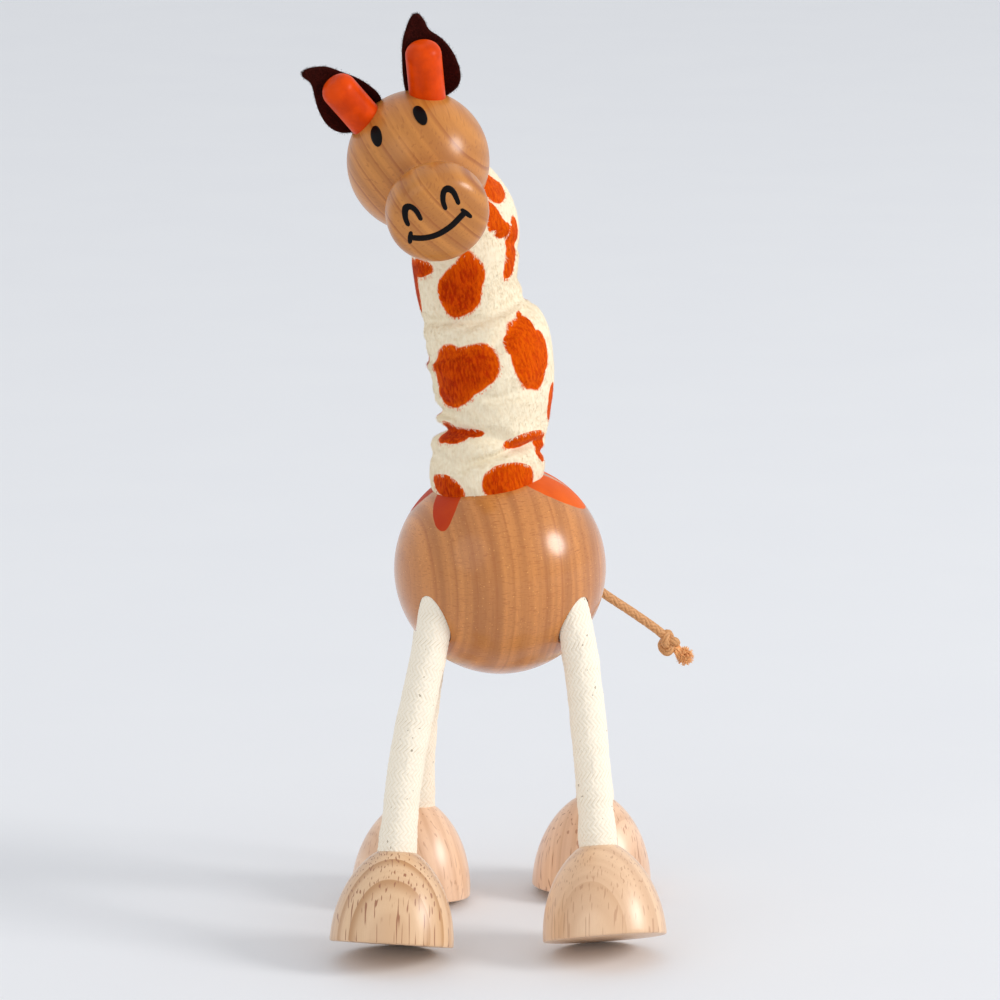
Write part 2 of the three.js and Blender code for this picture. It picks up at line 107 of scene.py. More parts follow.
# Each leg's rope: its aim inside the body, its bending points, and how its hoof stands and was sawn.
# rings is the way across the growth rings, depth how dark they are, pores how dark the pore lines are, and
# tone how pale the wood is.
LEGS = {
    "front_right": {
        "socket": (-12.4, -13.3, 74.9), "hip": (-15.2, -17.6, 61.3), "knee": (-19.5, -23.0, 41.0),
        "hoof": (-22.7, -33.3), "toe": 17.8, "lean": 3.7,
        "rings": (0.03, 0.93, -0.34), "spacing": 3.3, "depth": 1.0, "pores": 0.95, "tone": 0.93, "seed": 3.1,
    },
    "front_left": {
        "socket": (14.2, -11.3, 74.0), "hip": (17.0, -15.2, 61.0), "knee": (19.2, -19.9, 41.0),
        "hoof": (22.0, -30.8), "toe": 20.4, "lean": -4.3,
        "rings": (0.25, 0.9, -0.3), "spacing": 3.6, "depth": 0.4, "pores": 0.4, "tone": 0.98, "seed": 7.7,
    },
    "rear_right": {
        "socket": (-13.1, 10.8, 74.7), "hip": (-15.2, 11.9, 57.0), "knee": (-17.3, 13.2, 39.5),
        "hoof": (-19.5, 12.3), "toe": 6.5, "lean": 3.7,
        "rings": (0.9, 0.4, 0.1), "spacing": 3.2, "depth": 0.35, "pores": 0.4, "tone": 1.05, "seed": 12.3,
    },
    "rear_left": {
        "socket": (11.9, 13.3, 74.7), "hip": (15.9, 15.4, 60.0), "knee": (18.9, 17.8, 42.0),
        "hoof": (20.0, 18.5), "toe": 5.4, "lean": 1.8,
        "rings": (0.8, -0.5, 0.15), "spacing": 3.2, "depth": 0.4, "pores": 0.7, "tone": 1.05, "seed": 16.9,
    },
}

TAIL_ROUTE = [
    (3.2, 23.7, 79.0), (4.9, 26.1, 77.9), (8.8, 27.7, 75.3), (15.0, 28.5, 70.6),
    (22.6, 29.2, 64.5), (29.2, 31.0, 59.6), (35.2, 32.4, 54.9),
]
KNOT_CENTRE = (37.0, 33.0, 52.4)
TUFT_CENTRE = (40.6, 33.6, 49.2)
# The knot's size, its turns about the ways back and up in degrees, and its stretch.
KNOT_SIZE, KNOT_DEPTH = 0.64, 0.95
KNOT_TURNS, KNOT_STRETCH = (38, 20), (0.86, 0.9, 1.1)
# The frayed end: its threads, how far they spread, and a thread's half width and sides.
TUFT_THREADS, TUFT_RADIUS = 420, 2.15
THREAD_RADIUS, THREAD_SIDES = 0.2, 5

# The plush's printed spots: middle round the neck (degrees from the front towards the giraffe's left),
# middle height, half width in degrees, half height, and degrees that it leans by for each millimetre up.
PLUSH_SPOTS = [
    (-27, 121.7, 33, 5.8, 1.2), (-41, 120.4, 23, 8.0, 0), (-50, 115.4, 14, 3.0, 0),
    (38, 122.4, 18, 6.4, -0.7), (53, 122.3, 11, 3.0, 0), (46, 126.6, 7, 2.8, 0), (25, 124.8, 10, 1.8, 0),
    (-5, 138.0, 25, 5.6, 1.3), (-20, 137.2, 15, 3.2, 0),
    (-58, 105.8, 14, 2.3, 0), (-42, 105.5, 18, 1.8, 3), (-22, 106.5, 14, 0.9, 4),
    (40, 106.3, 19, 2.1, 7), (72, 104.6, 11, 3.3, -1.5), (27, 97.4, 29, 3.7, 0), (-47, 95.8, 23, 2.2, -3),
    (-86, 125.5, 9, 2.4, 0), (78, 113.6, 11, 3.4, -1),
    (-60, 141.6, 24, 1.7, 0), (-80, 139.2, 14, 4.2, 0),
    (62, 144.5, 11, 6.2, 1.6), (51, 151.8, 13, 5.5, 1.8), (85, 156.4, 16, 2.9, -2),
    (128, 103.0, 25, 4.2, 0), (172, 112.0, 26, 5.6, 2), (216, 122.5, 24, 6.0, -2), (142, 127.0, 24, 6.4, 2),
    (251, 107.0, 18, 5.0, 2), (186, 138.6, 24, 5.2, 0), (232, 146.5, 20, 5.0, 2), (134, 145.5, 18, 4.8, 0),
    (200, 98.0, 28, 3.2, 0), (250, 134.0, 10, 3.0, 0), (172, 153.0, 22, 3.6, 0), (106, 134.0, 9, 4.0, 0),
]
# The plush's folds: height at the front, rise towards the giraffe's left (across the sine), the
# turn where the fold is deepest, how far round it reaches, its depth (a swell where below 0) and its width.
PLUSH_FOLDS = [
    (107.2, 1.2, -75, 95, 1.8, 1.35), (106.2, -2.4, 75, 110, 0.85, 1.35), (106.8, 1.0, 185, 120, 1.5, 1.3),
    (102.0, 4.6, 25, 75, 1.1, 0.9), (99.0, -2.0, -60, 50, 0.5, 1.0), (115.0, 3.0, 15, 50, 0.6, 1.2),
    (125.0, 4.2, 58, 80, 0.75, 1.1), (131.0, -2.8, -35, 60, 1.0, 0.95), (133.0, 0, 190, 100, 1.0, 1.2),
    (131.0, 0.3, 80, 75, 0.45, 1.0), (147.5, -2.0, 70, 50, 0.4, 1.0), (120.0, 1.5, 150, 60, 0.5, 1.2),
    (147.0, 1.0, 160, 70, 0.5, 1.2), (112.0, -2.0, -50, 60, 0.45, 1.0), (110.2, 0, -82, 70, 1.6, 1.7),
    (131.2, 0, -85, 110, -1.1, 2.2), (123.5, 0, -85, 90, -0.8, 4.0),
]
# Heights up the neck and the plush's radius there.
PLUSH_RADII = [
    (90.6, 9.6), (92.4, 10.9), (94.6, 11.6), (96.4, 11.9), (99.5, 12.0), (103, 11.7), (106, 11.3),
    (110, 11.9), (114, 12.6), (119, 12.9), (125, 12.9), (128.4, 12.4), (129.3, 12.0), (130.2, 11.1),
    (131.5, 10.8), (136.5, 10.8), (139, 10.9), (143, 11.3), (147, 11.5), (151, 11.4), (155, 11.1),
    (158.5, 10.3), (161, 8.6),
]

# The plush's usual radius. Its pile: fibres for each millimetre of neck, how deep they root and their half
# width.
PLUSH_RADIUS = 12
PILE_COUNT, PILE_COUNT_QUICK = 700, 200
PILE_ROOT, PILE_HALF_WIDTH = 0.15, 0.085

# The painted spots on the body ball: turn from the front towards the left at the neck, half width there,
# where the spot ends (degrees down from the top), the lean of its middle for each degree down, and its taper.
BODY_SPOTS = [
    (-57, 18, 60, 0.62, 0.55), (-92, 19, 58, -0.1, 0.5), (60, 24, 54, 1.1, 0.25), (112, 18, 60, -0.2, 0.4),
    (158, 17, 58, 0.25, 0.4), (-148, 18, 61, -0.15, 0.4),
]

# The face, in the head's own frame: points across and up (or across and back for the eyes), stroke widths.
EYES = [((-5.7, -7.15), (-5.55, -2.3)), ((4.25, -7.2), (4.3, -2.35))]
NOSTRILS = [
    [(-6.35, 3.0), (-6.25, 5.0), (-5.5, 6.7), (-4.45, 6.9), (-3.7, 5.8), (-3.45, 3.4)],
    [(1.95, 3.5), (2.1, 5.6), (2.95, 7.2), (4.0, 7.3), (4.75, 6.1), (4.8, 3.3)],
]
MOUTH = [(-6.9, 0.35), (-4.6, -0.65), (-1.7, -1.1), (1.4, -0.55), (4.0, 0.6), (5.3, 1.15)]
MOUTH_ENDS = [[(-6.3, 1.85), (-6.95, 0.4), (-7.6, -1.2)], [(4.75, 2.3), (5.4, 0.9), (6.1, -0.85)]]

# The camera's place, its tilt down in degrees and its lens.
CAMERA_PLACE, CAMERA_TILT, CAMERA_LENS = (0, -1070, 327), 12.4, 186.3
# The lamps: the way to each, its distance and size in metres, its power and its colour.
LAMP_TARGET = (0, 0, 90)
LAMPS = {
    "key": ((0.866, -0.26, 0.44), 2.4, 0.86, 27.5, (1.0, 0.975, 0.95)),
    "fill": ((-0.55, -0.75, 0.45), 2.6, 1.8, 4.6, (0.96, 0.98, 1.0)),
}
SKY_COLOUR, SKY_STRENGTH = (0.96, 0.975, 1.0, 1.0), 0.76
FLOOR_HALF_WIDTH = 4


def place(point):
    """A point in the maker's millimetres as a point in the model, in metres."""
    return Vector(point) * MM + SHIFT


def places(points):
    """Rows of points in the maker's millimetres as rows in the model, in metres."""
    return np.asarray(points, float) * MM + np.array(SHIFT)


def rgb(red, green, blue):
    """A screen colour, 0 to 255, as linear light with full alpha."""
    shares = (red / 255, green / 255, blue / 255)
    return (*(c / 12.92 if c <= 0.04045 else ((c + 0.055) / 1.055) ** 2.4 for c in shares), 1.0)


# ---------------------------------------------------------------------------------------------------
# Settings
# ---------------------------------------------------------------------------------------------------


def length_setting(name, description, millimetres):
    return bpy.props.FloatProperty(
        name=name, description=description, default=millimetres * MM, min=0.0, precision=5, unit="LENGTH",
        subtype="DISTANCE",
    )


def colour_setting(name, description, colour):
    return bpy.props.FloatVectorProperty(
        name=name, description=description, default=colour, size=4, min=0.0, max=1.0, subtype="COLOR"
    )


class GiraffeSizes(bpy.types.PropertyGroup):
    """Sizes of the giraffe's pieces."""

    body: length_setting("Body ball", "Radius of the turned body ball", 22.5)
    head: length_setting("Head ball", "Radius of the turned head ball", 14.8)
    rope: length_setting("Rope", "Radius of the braided leg rope", 3.8)
    hoof: length_setting("Hoof", "Radius of a hoof's sole", 13.0)
    hoof_height: length_setting("Hoof height", "Height of a hoof above its sole", 19.2)
    horn: length_setting("Horn peg", "Radius of a horn peg", 3.75)
    ear: length_setting("Ear felt", "Thickness of the ears' felt", 1.2)
    tail: length_setting("Tail cord", "Radius of the tail's cord", 1.0)
    pile: length_setting("Plush pile", "Length of the plush's pile", 0.95)


class GiraffeColours(bpy.types.PropertyGroup):
    """Colours of the giraffe's finishes."""

    body: colour_setting("Body wood", "Stained beech of the body ball", rgb(204, 132, 66))
    head: colour_setting("Head wood", "Honey coloured beech of the head", rgb(198, 128, 54))
    hoof: colour_setting("Hoof wood", "Pale beech of the hooves", rgb(235, 196, 160))
    orange: colour_setting("Orange paint", "Paint of the horn pegs and the body's spots", rgb(226, 72, 0))
    black: colour_setting("Black paint", "Paint of the face", rgb(6, 2, 3))
    plush: colour_setting("Plush", "Cream ground of the plush", rgb(254, 240, 214))
    spots: colour_setting("Plush spots", "Printed spots of the plush", rgb(222, 84, 0))
    rope: colour_setting("Rope", "Cotton of the leg ropes", rgb(250, 240, 222))
    felt: colour_setting("Felt", "Felt of the ears", rgb(56, 15, 11))
    tail: colour_setting("Tail cord", "Waxed cord of the tail", rgb(206, 150, 98))


def sizes():
    return bpy.context.scene.giraffe_sizes


def colours():
    return bpy.context.scene.giraffe_colours


# ---------------------------------------------------------------------------------------------------
# Shader maths
# ---------------------------------------------------------------------------------------------------


class Value:
    """A number that varies over a surface. Python's operators add the Math nodes that work it out."""

    def __init__(self, finish, socket):
        self.finish = finish
        self.socket = socket

    def maths(self, operation, *others):
        inputs = dict(enumerate((self, *others)))
        node = self.finish.node("ShaderNodeMath", {"operation": operation}, inputs)
        return Value(self.finish, node.outputs[0])

    def __add__(self, other):
        return self.maths("ADD", other)

    __radd__ = __add__

    def __sub__(self, other):
        return self.maths("SUBTRACT", other)

    def __rsub__(self, other):
        node = self.finish.node("ShaderNodeMath", {"operation": "SUBTRACT"}, {0: other, 1: self})
        return Value(self.finish, node.outputs[0])

    def __mul__(self, other):
        return self.maths("MULTIPLY", other)

    def __truediv__(self, other):
        return self.maths("DIVIDE", other)

    def fraction(self):
        return self.maths("FRACT")

    def larger(self, other):
        return self.maths("MAXIMUM", other)

    def step(self, low, high):
        """0 below low, 1 above high and smooth between them."""
        inputs = {0: self, 1: low, 2: high, 3: 0.0, 4: 1.0}
        node = self.finish.node("ShaderNodeMapRange", {"interpolation_type": "SMOOTHSTEP"}, inputs)
        return Value(self.finish, node.outputs[0])


class Finish:
    """A material with one Principled shader. Constants are set on the shader's own sockets."""

    def __init__(self, name, **constants):
        self.material = bpy.data.materials.new(name)
        self.material.use_nodes = True
        self.tree = self.material.node_tree
        self.tree.nodes.clear()
        self.shader = self.node("ShaderNodeBsdfPrincipled")
        self.set(**constants)
        output = self.tree.nodes.new("ShaderNodeOutputMaterial")
        self.tree.links.new(self.shader.outputs[0], output.inputs[0])

    def feed(self, socket, value):
        """Links a varying value to a socket, or sets a constant on it."""
        if isinstance(value, Value):
            value = value.socket
        if isinstance(value, bpy.types.NodeSocket):
            self.tree.links.new(value, socket)
        else:
            socket.default_value = value

    def node(self, kind, settings=None, inputs=None):
        node = self.tree.nodes.new(kind)
        for key, value in (settings or {}).items():
            setattr(node, key, value)
        for key, value in (inputs or {}).items():
            self.feed(node.inputs[key], value)
        return node

    def set(self, **sockets):
        """Feeds the shader's own sockets, named with _ for a space."""
        for name, value in sockets.items():
            self.feed(self.shader.inputs[name.replace("_", " ")], value)
        return self.material

    def position(self, centre=(0, 0, 0), rest=False):
        """Where a point is from the centre, in millimetres. rest follows a piece that bends."""
        if rest:
            socket = self.node("ShaderNodeAttribute", {"attribute_name": "rest"}).outputs["Vector"]
        else:
            socket = self.node("ShaderNodeTexCoord").outputs["Object"]
        moved = self.node("ShaderNodeVectorMath", {"operation": "SUBTRACT"}, {0: socket, 1: tuple(centre)})
        inputs = {0: moved.outputs[0], "Scale": 1 / MM}
        return self.node("ShaderNodeVectorMath", {"operation": "SCALE"}, inputs).outputs[0]

    def along(self, vector, axis):
        """How far a vector goes along an axis."""
        node = self.node("ShaderNodeVectorMath", {"operation": "DOT_PRODUCT"}, {0: vector, 1: tuple(axis)})
        return Value(self, node.outputs["Value"])

    def join(self, x, y, z):
        return self.node("ShaderNodeCombineXYZ", {}, {0: x, 1: y, 2: z}).outputs[0]

    def attribute(self, name):
        return Value(self, self.node("ShaderNodeAttribute", {"attribute_name": name}).outputs["Fac"])

    def noise(self, vector, scale=1.0, detail=2.0, roughness=0.5):
        inputs = {"Vector": vector, "Scale": scale, "Detail": detail, "Roughness": roughness}
        return Value(self, self.node("ShaderNodeTexNoise", {}, inputs).outputs[0])

    def mix(self, factor, first, second):
        inputs = {0: factor, 6: first, 7: second}
        return self.node("ShaderNodeMix", {"data_type": "RGBA"}, inputs).outputs[2]

    def bump(self, height, millimetres):
        """Raises the surface, as the light sees it, by a height of 0 to 1 times a length."""
        bump = self.node("ShaderNodeBump", {}, {"Height": height, "Distance": millimetres * MM})
        self.set(Normal=bump.outputs[0])


def shade(colour, share, tint=(1, 1, 1)):
    """A colour made darker or lighter by a share, and tinted."""
    return (*(min(1.0, colour[i] * share * tint[i]) for i in range(3)), 1.0)


def wood_colour(
    finish, where, colour, rings, grain, spacing, depth, pores, seed, waver, bands, ripple=0.0, gradual=0.76
):
    """Colour, fibre and pores of turned beech: growth rings, bands, pore lines along the grain, ray flecks.

    rings is the way across the growth rings, spacing how far apart they are, depth how dark, waver how much
    they wander and gradual how far across each its dark wood starts. bands and ripple are the strength of the
    broad bands and of the flecks.
    """
    rings = Vector(rings).normalized()
    grain = Vector(grain)
    grain = (grain - rings * grain.dot(rings)).normalized()
    third = rings.cross(grain)
    u, v, w = (finish.along(where, axis) for axis in (rings, third, grain))
    drift = finish.noise(finish.join(u * 0.08 + seed, v * 0.05, w * 0.025), 1.0, 2.0) - 0.5
    phase = (u + drift * (9.0 * waver)) / spacing
    ring = phase.fraction()
    late = ring.step(gradual, 0.95) * (1.0 - ring.step(0.965, 1.0))
    uneven = finish.noise(finish.join(phase * 0.6 + seed, v * 0.03, w * 0.01), 1.0, 1.0)
    band = finish.noise(finish.join(phase * 1.4 + seed, v * 0.02, w * 0.008), 1.0, 3.0)
    fibre = finish.noise(finish.join(u * 4.0, v * 4.0, w * 0.3 + seed), 1.0, 3.0, 0.6)
    short = finish.noise(finish.join(u * 1.5 + seed, v * 2.7, w * 0.08), 1.0, 0.0)
    pore = short.step(0.64, 0.74)
    dark = shade(colour, 0.68, (1.0, 0.78, 0.56))
    mid = shade(colour, 0.95 - 0.2 * bands, (1.0, 0.93, 0.86))
    light = shade(colour, 1.05 + 0.1 * bands, (1.0, 1.01, 1.0))
    base = finish.mix(band.step(0.32, 0.66), light, mid)
    base = finish.mix(fibre.step(0.4, 0.75) * 0.3, base, mid)
    base = finish.mix(late * uneven.step(0.3, 0.6) * depth, base, dark)
    if ripple:
        fleck = finish.noise(finish.join(u * 0.75, v * 0.75, w * 5.0 + seed), 1.0, 2.0)
        base = finish.mix(fleck.step(0.54, 0.68) * ripple, base, dark)
        dust = finish.noise(finish.join(u * 2.6, v * 2.6, w * 2.6 + seed), 1.0, 0.0)
        base = finish.mix(dust.step(0.76, 0.82) * 0.4, base, shade(colour, 1.9, (1.0, 1.1, 1.25)))
    base = finish.mix(pore * pores, base, shade(colour, 0.46, (1.0, 0.58, 0.4)))
    return base, fibre, pore


# ---------------------------------------------------------------------------------------------------
# Making pieces
# ---------------------------------------------------------------------------------------------------


def mesh_data(name, mesh):
    """A bmesh as mesh data. The bmesh is freed."""
    data = bpy.data.meshes.new(name)
    mesh.to_mesh(data)
    mesh.free()
    return data


def vectors(data, key="co"):
    """A vector of each vertex, as rows."""
    rows = np.empty(len(data.vertices) * 3)
    data.vertices.foreach_get(key, rows)
    return rows.reshape(-1, 3)


def unit(rows):
    """Rows of vectors, each made one long."""
    return rows / np.linalg.norm(rows, axis=1)[:, None]


def finished(name, mesh, material, stands_for=()):
    """Turns a bmesh into a named piece with a finish."""
    return finished_data(name, mesh_data(name, mesh), material, stands_for)


def finished_data(name, data, material, stands_for=(), smooth=True):
    """Turns mesh data into a named piece with a finish, and hides the solids that it stands for."""
    if smooth:
        data.shade_smooth()
    data.materials.append(material)
    piece = bpy.data.objects.new(name, data)
    bpy.context.scene.collection.objects.link(piece)
    if stands_for:
        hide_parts(*stands_for)
    return piece


def modified(piece):
    """Gives a piece its modifiers' result as its own mesh."""
    graph = bpy.context.evaluated_depsgraph_get()
    data = bpy.data.meshes.new_from_object(piece.evaluated_get(graph), depsgraph=graph)
    piece.modifiers.clear()
    old = piece.data
    piece.data = data
    bpy.data.meshes.remove(old)


def sharpen(data, angle):
    """Shades a mesh smooth, apart from the edges that turn by more than an angle in degrees."""
    data.shade_smooth()
    data.set_sharp_from_angle(angle=math.radians(angle))


def turned(profile, matrix, steps):
    """A bmesh turned on a lathe: (radius, height) pairs in millimetres, up the outside, spun about +Z."""
    mesh = bmesh.new()
    verts = [mesh.verts.new((radius * MM, 0, height * MM)) for radius, height in profile]
    edges = [mesh.edges.new(pair) for pair in zip(verts, verts[1:])]
    bmesh.ops.spin(
        mesh, geom=verts + edges, cent=(0, 0, 0), axis=(0, 0, 1), angle=math.tau, steps=steps, use_merge=True,
        use_duplicate=False,
    )
    bmesh.ops.remove_doubles(mesh, verts=mesh.verts, dist=1e-7)
    bmesh.ops.transform(mesh, matrix=matrix, verts=mesh.verts)
    bmesh.ops.recalc_face_normals(mesh, faces=mesh.faces)
    return mesh


def spline(points, spacing):
    """A smooth line through points, with a point every so often: the points and their distances along."""
    points = np.asarray(points, float)
    ends = np.vstack([2 * points[0] - points[1], points, 2 * points[-1] - points[-2]])
    pieces = []
    for a, b, c, d in zip(ends, ends[1:], ends[2:], ends[3:]):
        t = np.linspace(0, 1, 60, endpoint=False)[:, None]
        square, cube = (2 * a - 5 * b + 4 * c - d) * t**2, (3 * b - a - 3 * c + d) * t**3
        pieces.append(0.5 * (2 * b + (c - a) * t + square + cube))
    fine = np.vstack([*pieces, points[-1:]])
    gone = np.concatenate([[0], np.cumsum(np.linalg.norm(np.diff(fine, axis=0), axis=1))])
    count = max(2, int(round(gone[-1] / spacing)) + 1)
    at = np.linspace(0, gone[-1], count)
    return np.stack([np.interp(at, gone, fine[:, k]) for k in range(3)], axis=1), at


class Guide:
    """A smooth line with a frame at each distance along it, for wrapping a skin round."""

    def __init__(self, points, hint, spacing=0.25):
        self.points, self.distance = spline(points, spacing)
        hint = np.asarray(hint, float)
        tangent = unit(np.gradient(self.points, axis=0))
        self.side = unit(hint - tangent * (tangent @ hint)[:, None])
        self.front = np.cross(self.side, tangent)

    def sample(self, rows, at):
        """A vector of each row of the line, between rows at distances along."""
        return np.stack([np.interp(at, self.distance, rows[:, k]) for k in range(3)], axis=1)

    def nearest(self, point):
        """The distance along the line of the place nearest to a point."""
        return self.distance[np.argmin(np.linalg.norm(self.points - np.asarray(point, float), axis=1))]

    def wrap(self, turn, at, radius):
        """Points at a turn (radians from the front towards the side), a distance along and a radius."""
        sideways = np.sin(turn)[:, None] * self.sample(self.side, at)
        out = sideways + np.cos(turn)[:, None] * self.sample(self.front, at)
        return self.sample(self.points, at) + out * np.asarray(radius)[:, None]


def skin(name, around, along, wrap, material, stands_for=()):
    """A closed tube. wrap(turn, share) gives its points and its named values at each vertex."""
    mesh = bmesh.new()
    bmesh.ops.create_grid(mesh, x_segments=around, y_segments=along, size=0.5)
    for vert in mesh.verts:
        turn = (vert.co.x + 0.5) * math.tau
        vert.co = (math.sin(turn), -math.cos(turn), vert.co.y + 0.5)
    bmesh.ops.remove_doubles(mesh, verts=mesh.verts, dist=1e-6)
    rims = [edge for edge in mesh.edges if edge.is_boundary]
    bmesh.ops.holes_fill(mesh, edges=rims, sides=0)
    for edge in rims:
        edge.smooth = False
    bmesh.ops.recalc_face_normals(mesh, faces=mesh.faces)
    data = mesh_data(name, mesh)
    x, y, z = vectors(data).T
    points, values = wrap(np.arctan2(x, -y), np.clip(z, 0, 1))
    set_points(data, points, values)
    check = bmesh.new()
    check.from_mesh(data)
    if check.calc_volume(signed=True) < 0:
        bmesh.ops.reverse_faces(check, faces=check.faces)
        check.to_mesh(data)
    check.free()
    return finished_data(name, data, material, stands_for)


def set_points(data, points, values):
    """Moves a mesh's vertices (maker's millimetres) and stores their rest places and named values."""
    model = places(points).astype(np.float32).ravel()
    data.vertices.foreach_set("co", model)
    data.attributes.new("rest", "FLOAT_VECTOR", "POINT").data.foreach_set("vector", model)
    for name, numbers in values.items():
        data.attributes.new(name, "FLOAT", "POINT").data.foreach_set("value", np.asarray(numbers, np.float32))
    data.update()


def rough(x, y, z, scale, seed):
    """Soft noise, about -1 to 1, for arrays of places in millimetres."""
    draw = np.random.default_rng(seed)
    total = np.zeros_like(x)
    for _ in range(7):
        way = draw.normal(size=3)
        way *= scale * draw.uniform(0.6, 1.7) / np.linalg.norm(way)
        total += np.sin(x * way[0] + y * way[1] + z * way[2] + draw.uniform(0, math.tau))
    return total / 3.2


def smooth(value, low, high):
    """0 below low, 1 above high and smooth between them, for arrays."""
    share = np.clip((value - low) / (high - low), 0, 1)
    return share * share * (3 - 2 * share)


def quarter_round(share):
    """How high a rounded edge stands, 0 to 1, at a share of the way in from its rim."""
    return np.sqrt(np.clip(1 - (1 - share) ** 2, 0, 1))


def braid(turn, distance, strands, pitch):
    """How high a braided surface stands, 0 in its gaps to 1, at turns (radians) and distances along."""
    u = turn / math.tau * strands
    v = distance / pitch
    a, b = u + v, u - v
    top = np.mod(np.floor(a) - np.floor(b), 4) < 2
    fa, fb = np.mod(a, 1.0), np.mod(b, 1.0)
    over = np.where(top, fa, fb)
    under = np.where(top, fb, fa)
    ridge = np.sin(np.pi * over) ** 0.7
    return ridge * (0.82 + 0.18 * np.sin(np.pi * under))


# ---------------------------------------------------------------------------------------------------
# Finishes
# ---------------------------------------------------------------------------------------------------


def body_finish():
    """Stained and lacquered beech with painted spots that hang down from the neck."""
    finish = Finish("stained_beech", Coat_Roughness=0.2, Specular_IOR_Level=0.2)
    where = finish.position(place(BODY_CENTRE))
    colour, fibre, pore = wood_colour(
        finish, where, colours().body, (0.95, 0.3, 0.04), (0, 0, 1), spacing=3.6, depth=0.55, pores=0.1,
        seed=2.0, waver=0.14, bands=0.9, ripple=0.6,
    )
    x, y, z = (finish.along(where, axis) for axis in ((1, 0, 0), (0, 1, 0), (0, 0, 1)))
    turn = x.maths("ARCTAN2", y * -1.0) * (180 / math.pi)
    down = (z / (sizes().body / MM)).maths("ARCCOSINE") * (180 / math.pi)
    wobble = finish.noise(where, 0.35, 2.0) - 0.5
    painted = None
    for middle, half, end, lean, taper in BODY_SPOTS:
        off = turn - ((down - 30.0) * lean + middle)
        off = (off + 540.0).maths("FLOORED_MODULO", 360.0) - 180.0
        depth = (down - 24.0) / (end - 24.0)
        across = off / ((1.12 - depth * taper) * half)
        inside = 1.0 - across * across - depth * depth * depth + wobble * 0.2
        painted = inside if painted is None else painted.larger(inside)
    mask = painted.step(-0.015, 0.03)
    # The paint's tone varies in random patches. On top of that, painted light makes it paler and more orange
    # towards +X, the side the key lamp lights, and painted shade makes it duller towards -X.
    tone = finish.noise(where, 0.25, 3.0) * 0.4 + x * 0.02 + 0.25
    orange = colours().orange
    dull, bright = shade(orange, 0.66, (1, 0.8, 1)), shade(orange, 1.1, (1, 1.75, 1))
    paint = finish.mix(tone.step(0.1, 0.9), dull, bright)
    finish.bump(mask * 0.6 + fibre * 0.08 - pore * 0.12, 0.06)
    return finish.set(
        Base_Color=finish.mix(mask, colour, paint), Roughness=0.36 + fibre * 0.08 + mask * 0.14,
        Coat_Weight=0.95 - mask * 0.93,
    )


def head_finish():
    """Honey coloured lacquered beech whose grain runs along the snout."""
    finish = Finish("honey_beech", Coat_Weight=0.6, Coat_Roughness=0.24, Specular_IOR_Level=0.25)
    where = finish.position(place(HEAD_CENTRE))
    axes = head_turn()
    side, back, up = (axes.col[k].to_3d() for k in range(3))
    colour, fibre, pore = wood_colour(
        finish, where, colours().head, side * 0.93 + up * 0.36, back + up * 0.25, spacing=3.6, depth=1.0,
        pores=0.25, seed=5.3, waver=0.22, bands=0.7,
    )
    finish.bump(fibre * 0.1 - pore * 0.15, 0.05)
    return finish.set(Base_Color=colour, Roughness=0.4 + fibre * 0.1)


def hoof_finish(leg):
    """Pale beech with arched growth rings and short dark pore lines."""
    facts = LEGS[leg]
    tone = facts["tone"]
    finish = Finish(f"pale_beech_{leg}", Coat_Weight=0.9, Coat_Roughness=0.3, Specular_IOR_Level=0.4)
    where = finish.position(place((*facts["hoof"], 4)))
    colour, fibre, pore = wood_colour(
        finish, where, shade(colours().hoof, tone, (1, 1, tone)), facts["rings"], (0.02, 0.42, 0.9),
        facts["spacing"], facts["depth"], facts["pores"], facts["seed"], waver=0.22, bands=0.3, gradual=0.45,
    )
    finish.bump(fibre * 0.15 - pore * 0.3, 0.05)
    return finish.set(Base_Color=colour, Roughness=0.42 + fibre * 0.1)


def paint_finish(name, colour, roughness=0.36):
    """Brushed paint with a dull sheen and uneven patches."""
    finish = Finish(name, Coat_Weight=0.08, Coat_Roughness=0.24, Specular_IOR_Level=0.08)
    where = finish.position(place(HEAD_CENTRE))
    patch = finish.noise(where, 0.3, 3.0).step(0.3, 0.7)
    drag = finish.noise(where, 2.2, 2.0)
    finish.bump(drag, 0.03)
    tone = finish.mix(patch, shade(colour, 0.8, (1, 0.88, 1)), shade(colour, 1.02))
    return finish.set(Base_Color=tone, Roughness=roughness + drag * 0.12)


def felt_finish():
    """Dark felt: matted fibres with paler flecks and a soft sheen."""
    colour = colours().felt
    finish = Finish(
        "brown_felt", Sheen_Weight=0.12, Sheen_Roughness=0.5, Sheen_Tint=rgb(190, 120, 100),
        Specular_IOR_Level=0.05, Roughness=0.95,
    )
    where = finish.position(place(HEAD_CENTRE))
    mat = finish.noise(where, 2.6, 4.0, 0.7)
    patch = finish.noise(where, 0.5, 3.0)
    tone = finish.mix(mat.step(0.38, 0.68), shade(colour, 0.55), shade(colour, 1.3))
    tone = finish.mix(patch.step(0.45, 0.75) * 0.4, tone, shade(colour, 1.6, (1, 0.9, 0.85)))
    finish.bump(mat, 0.35)
    return finish.set(Base_Color=tone)


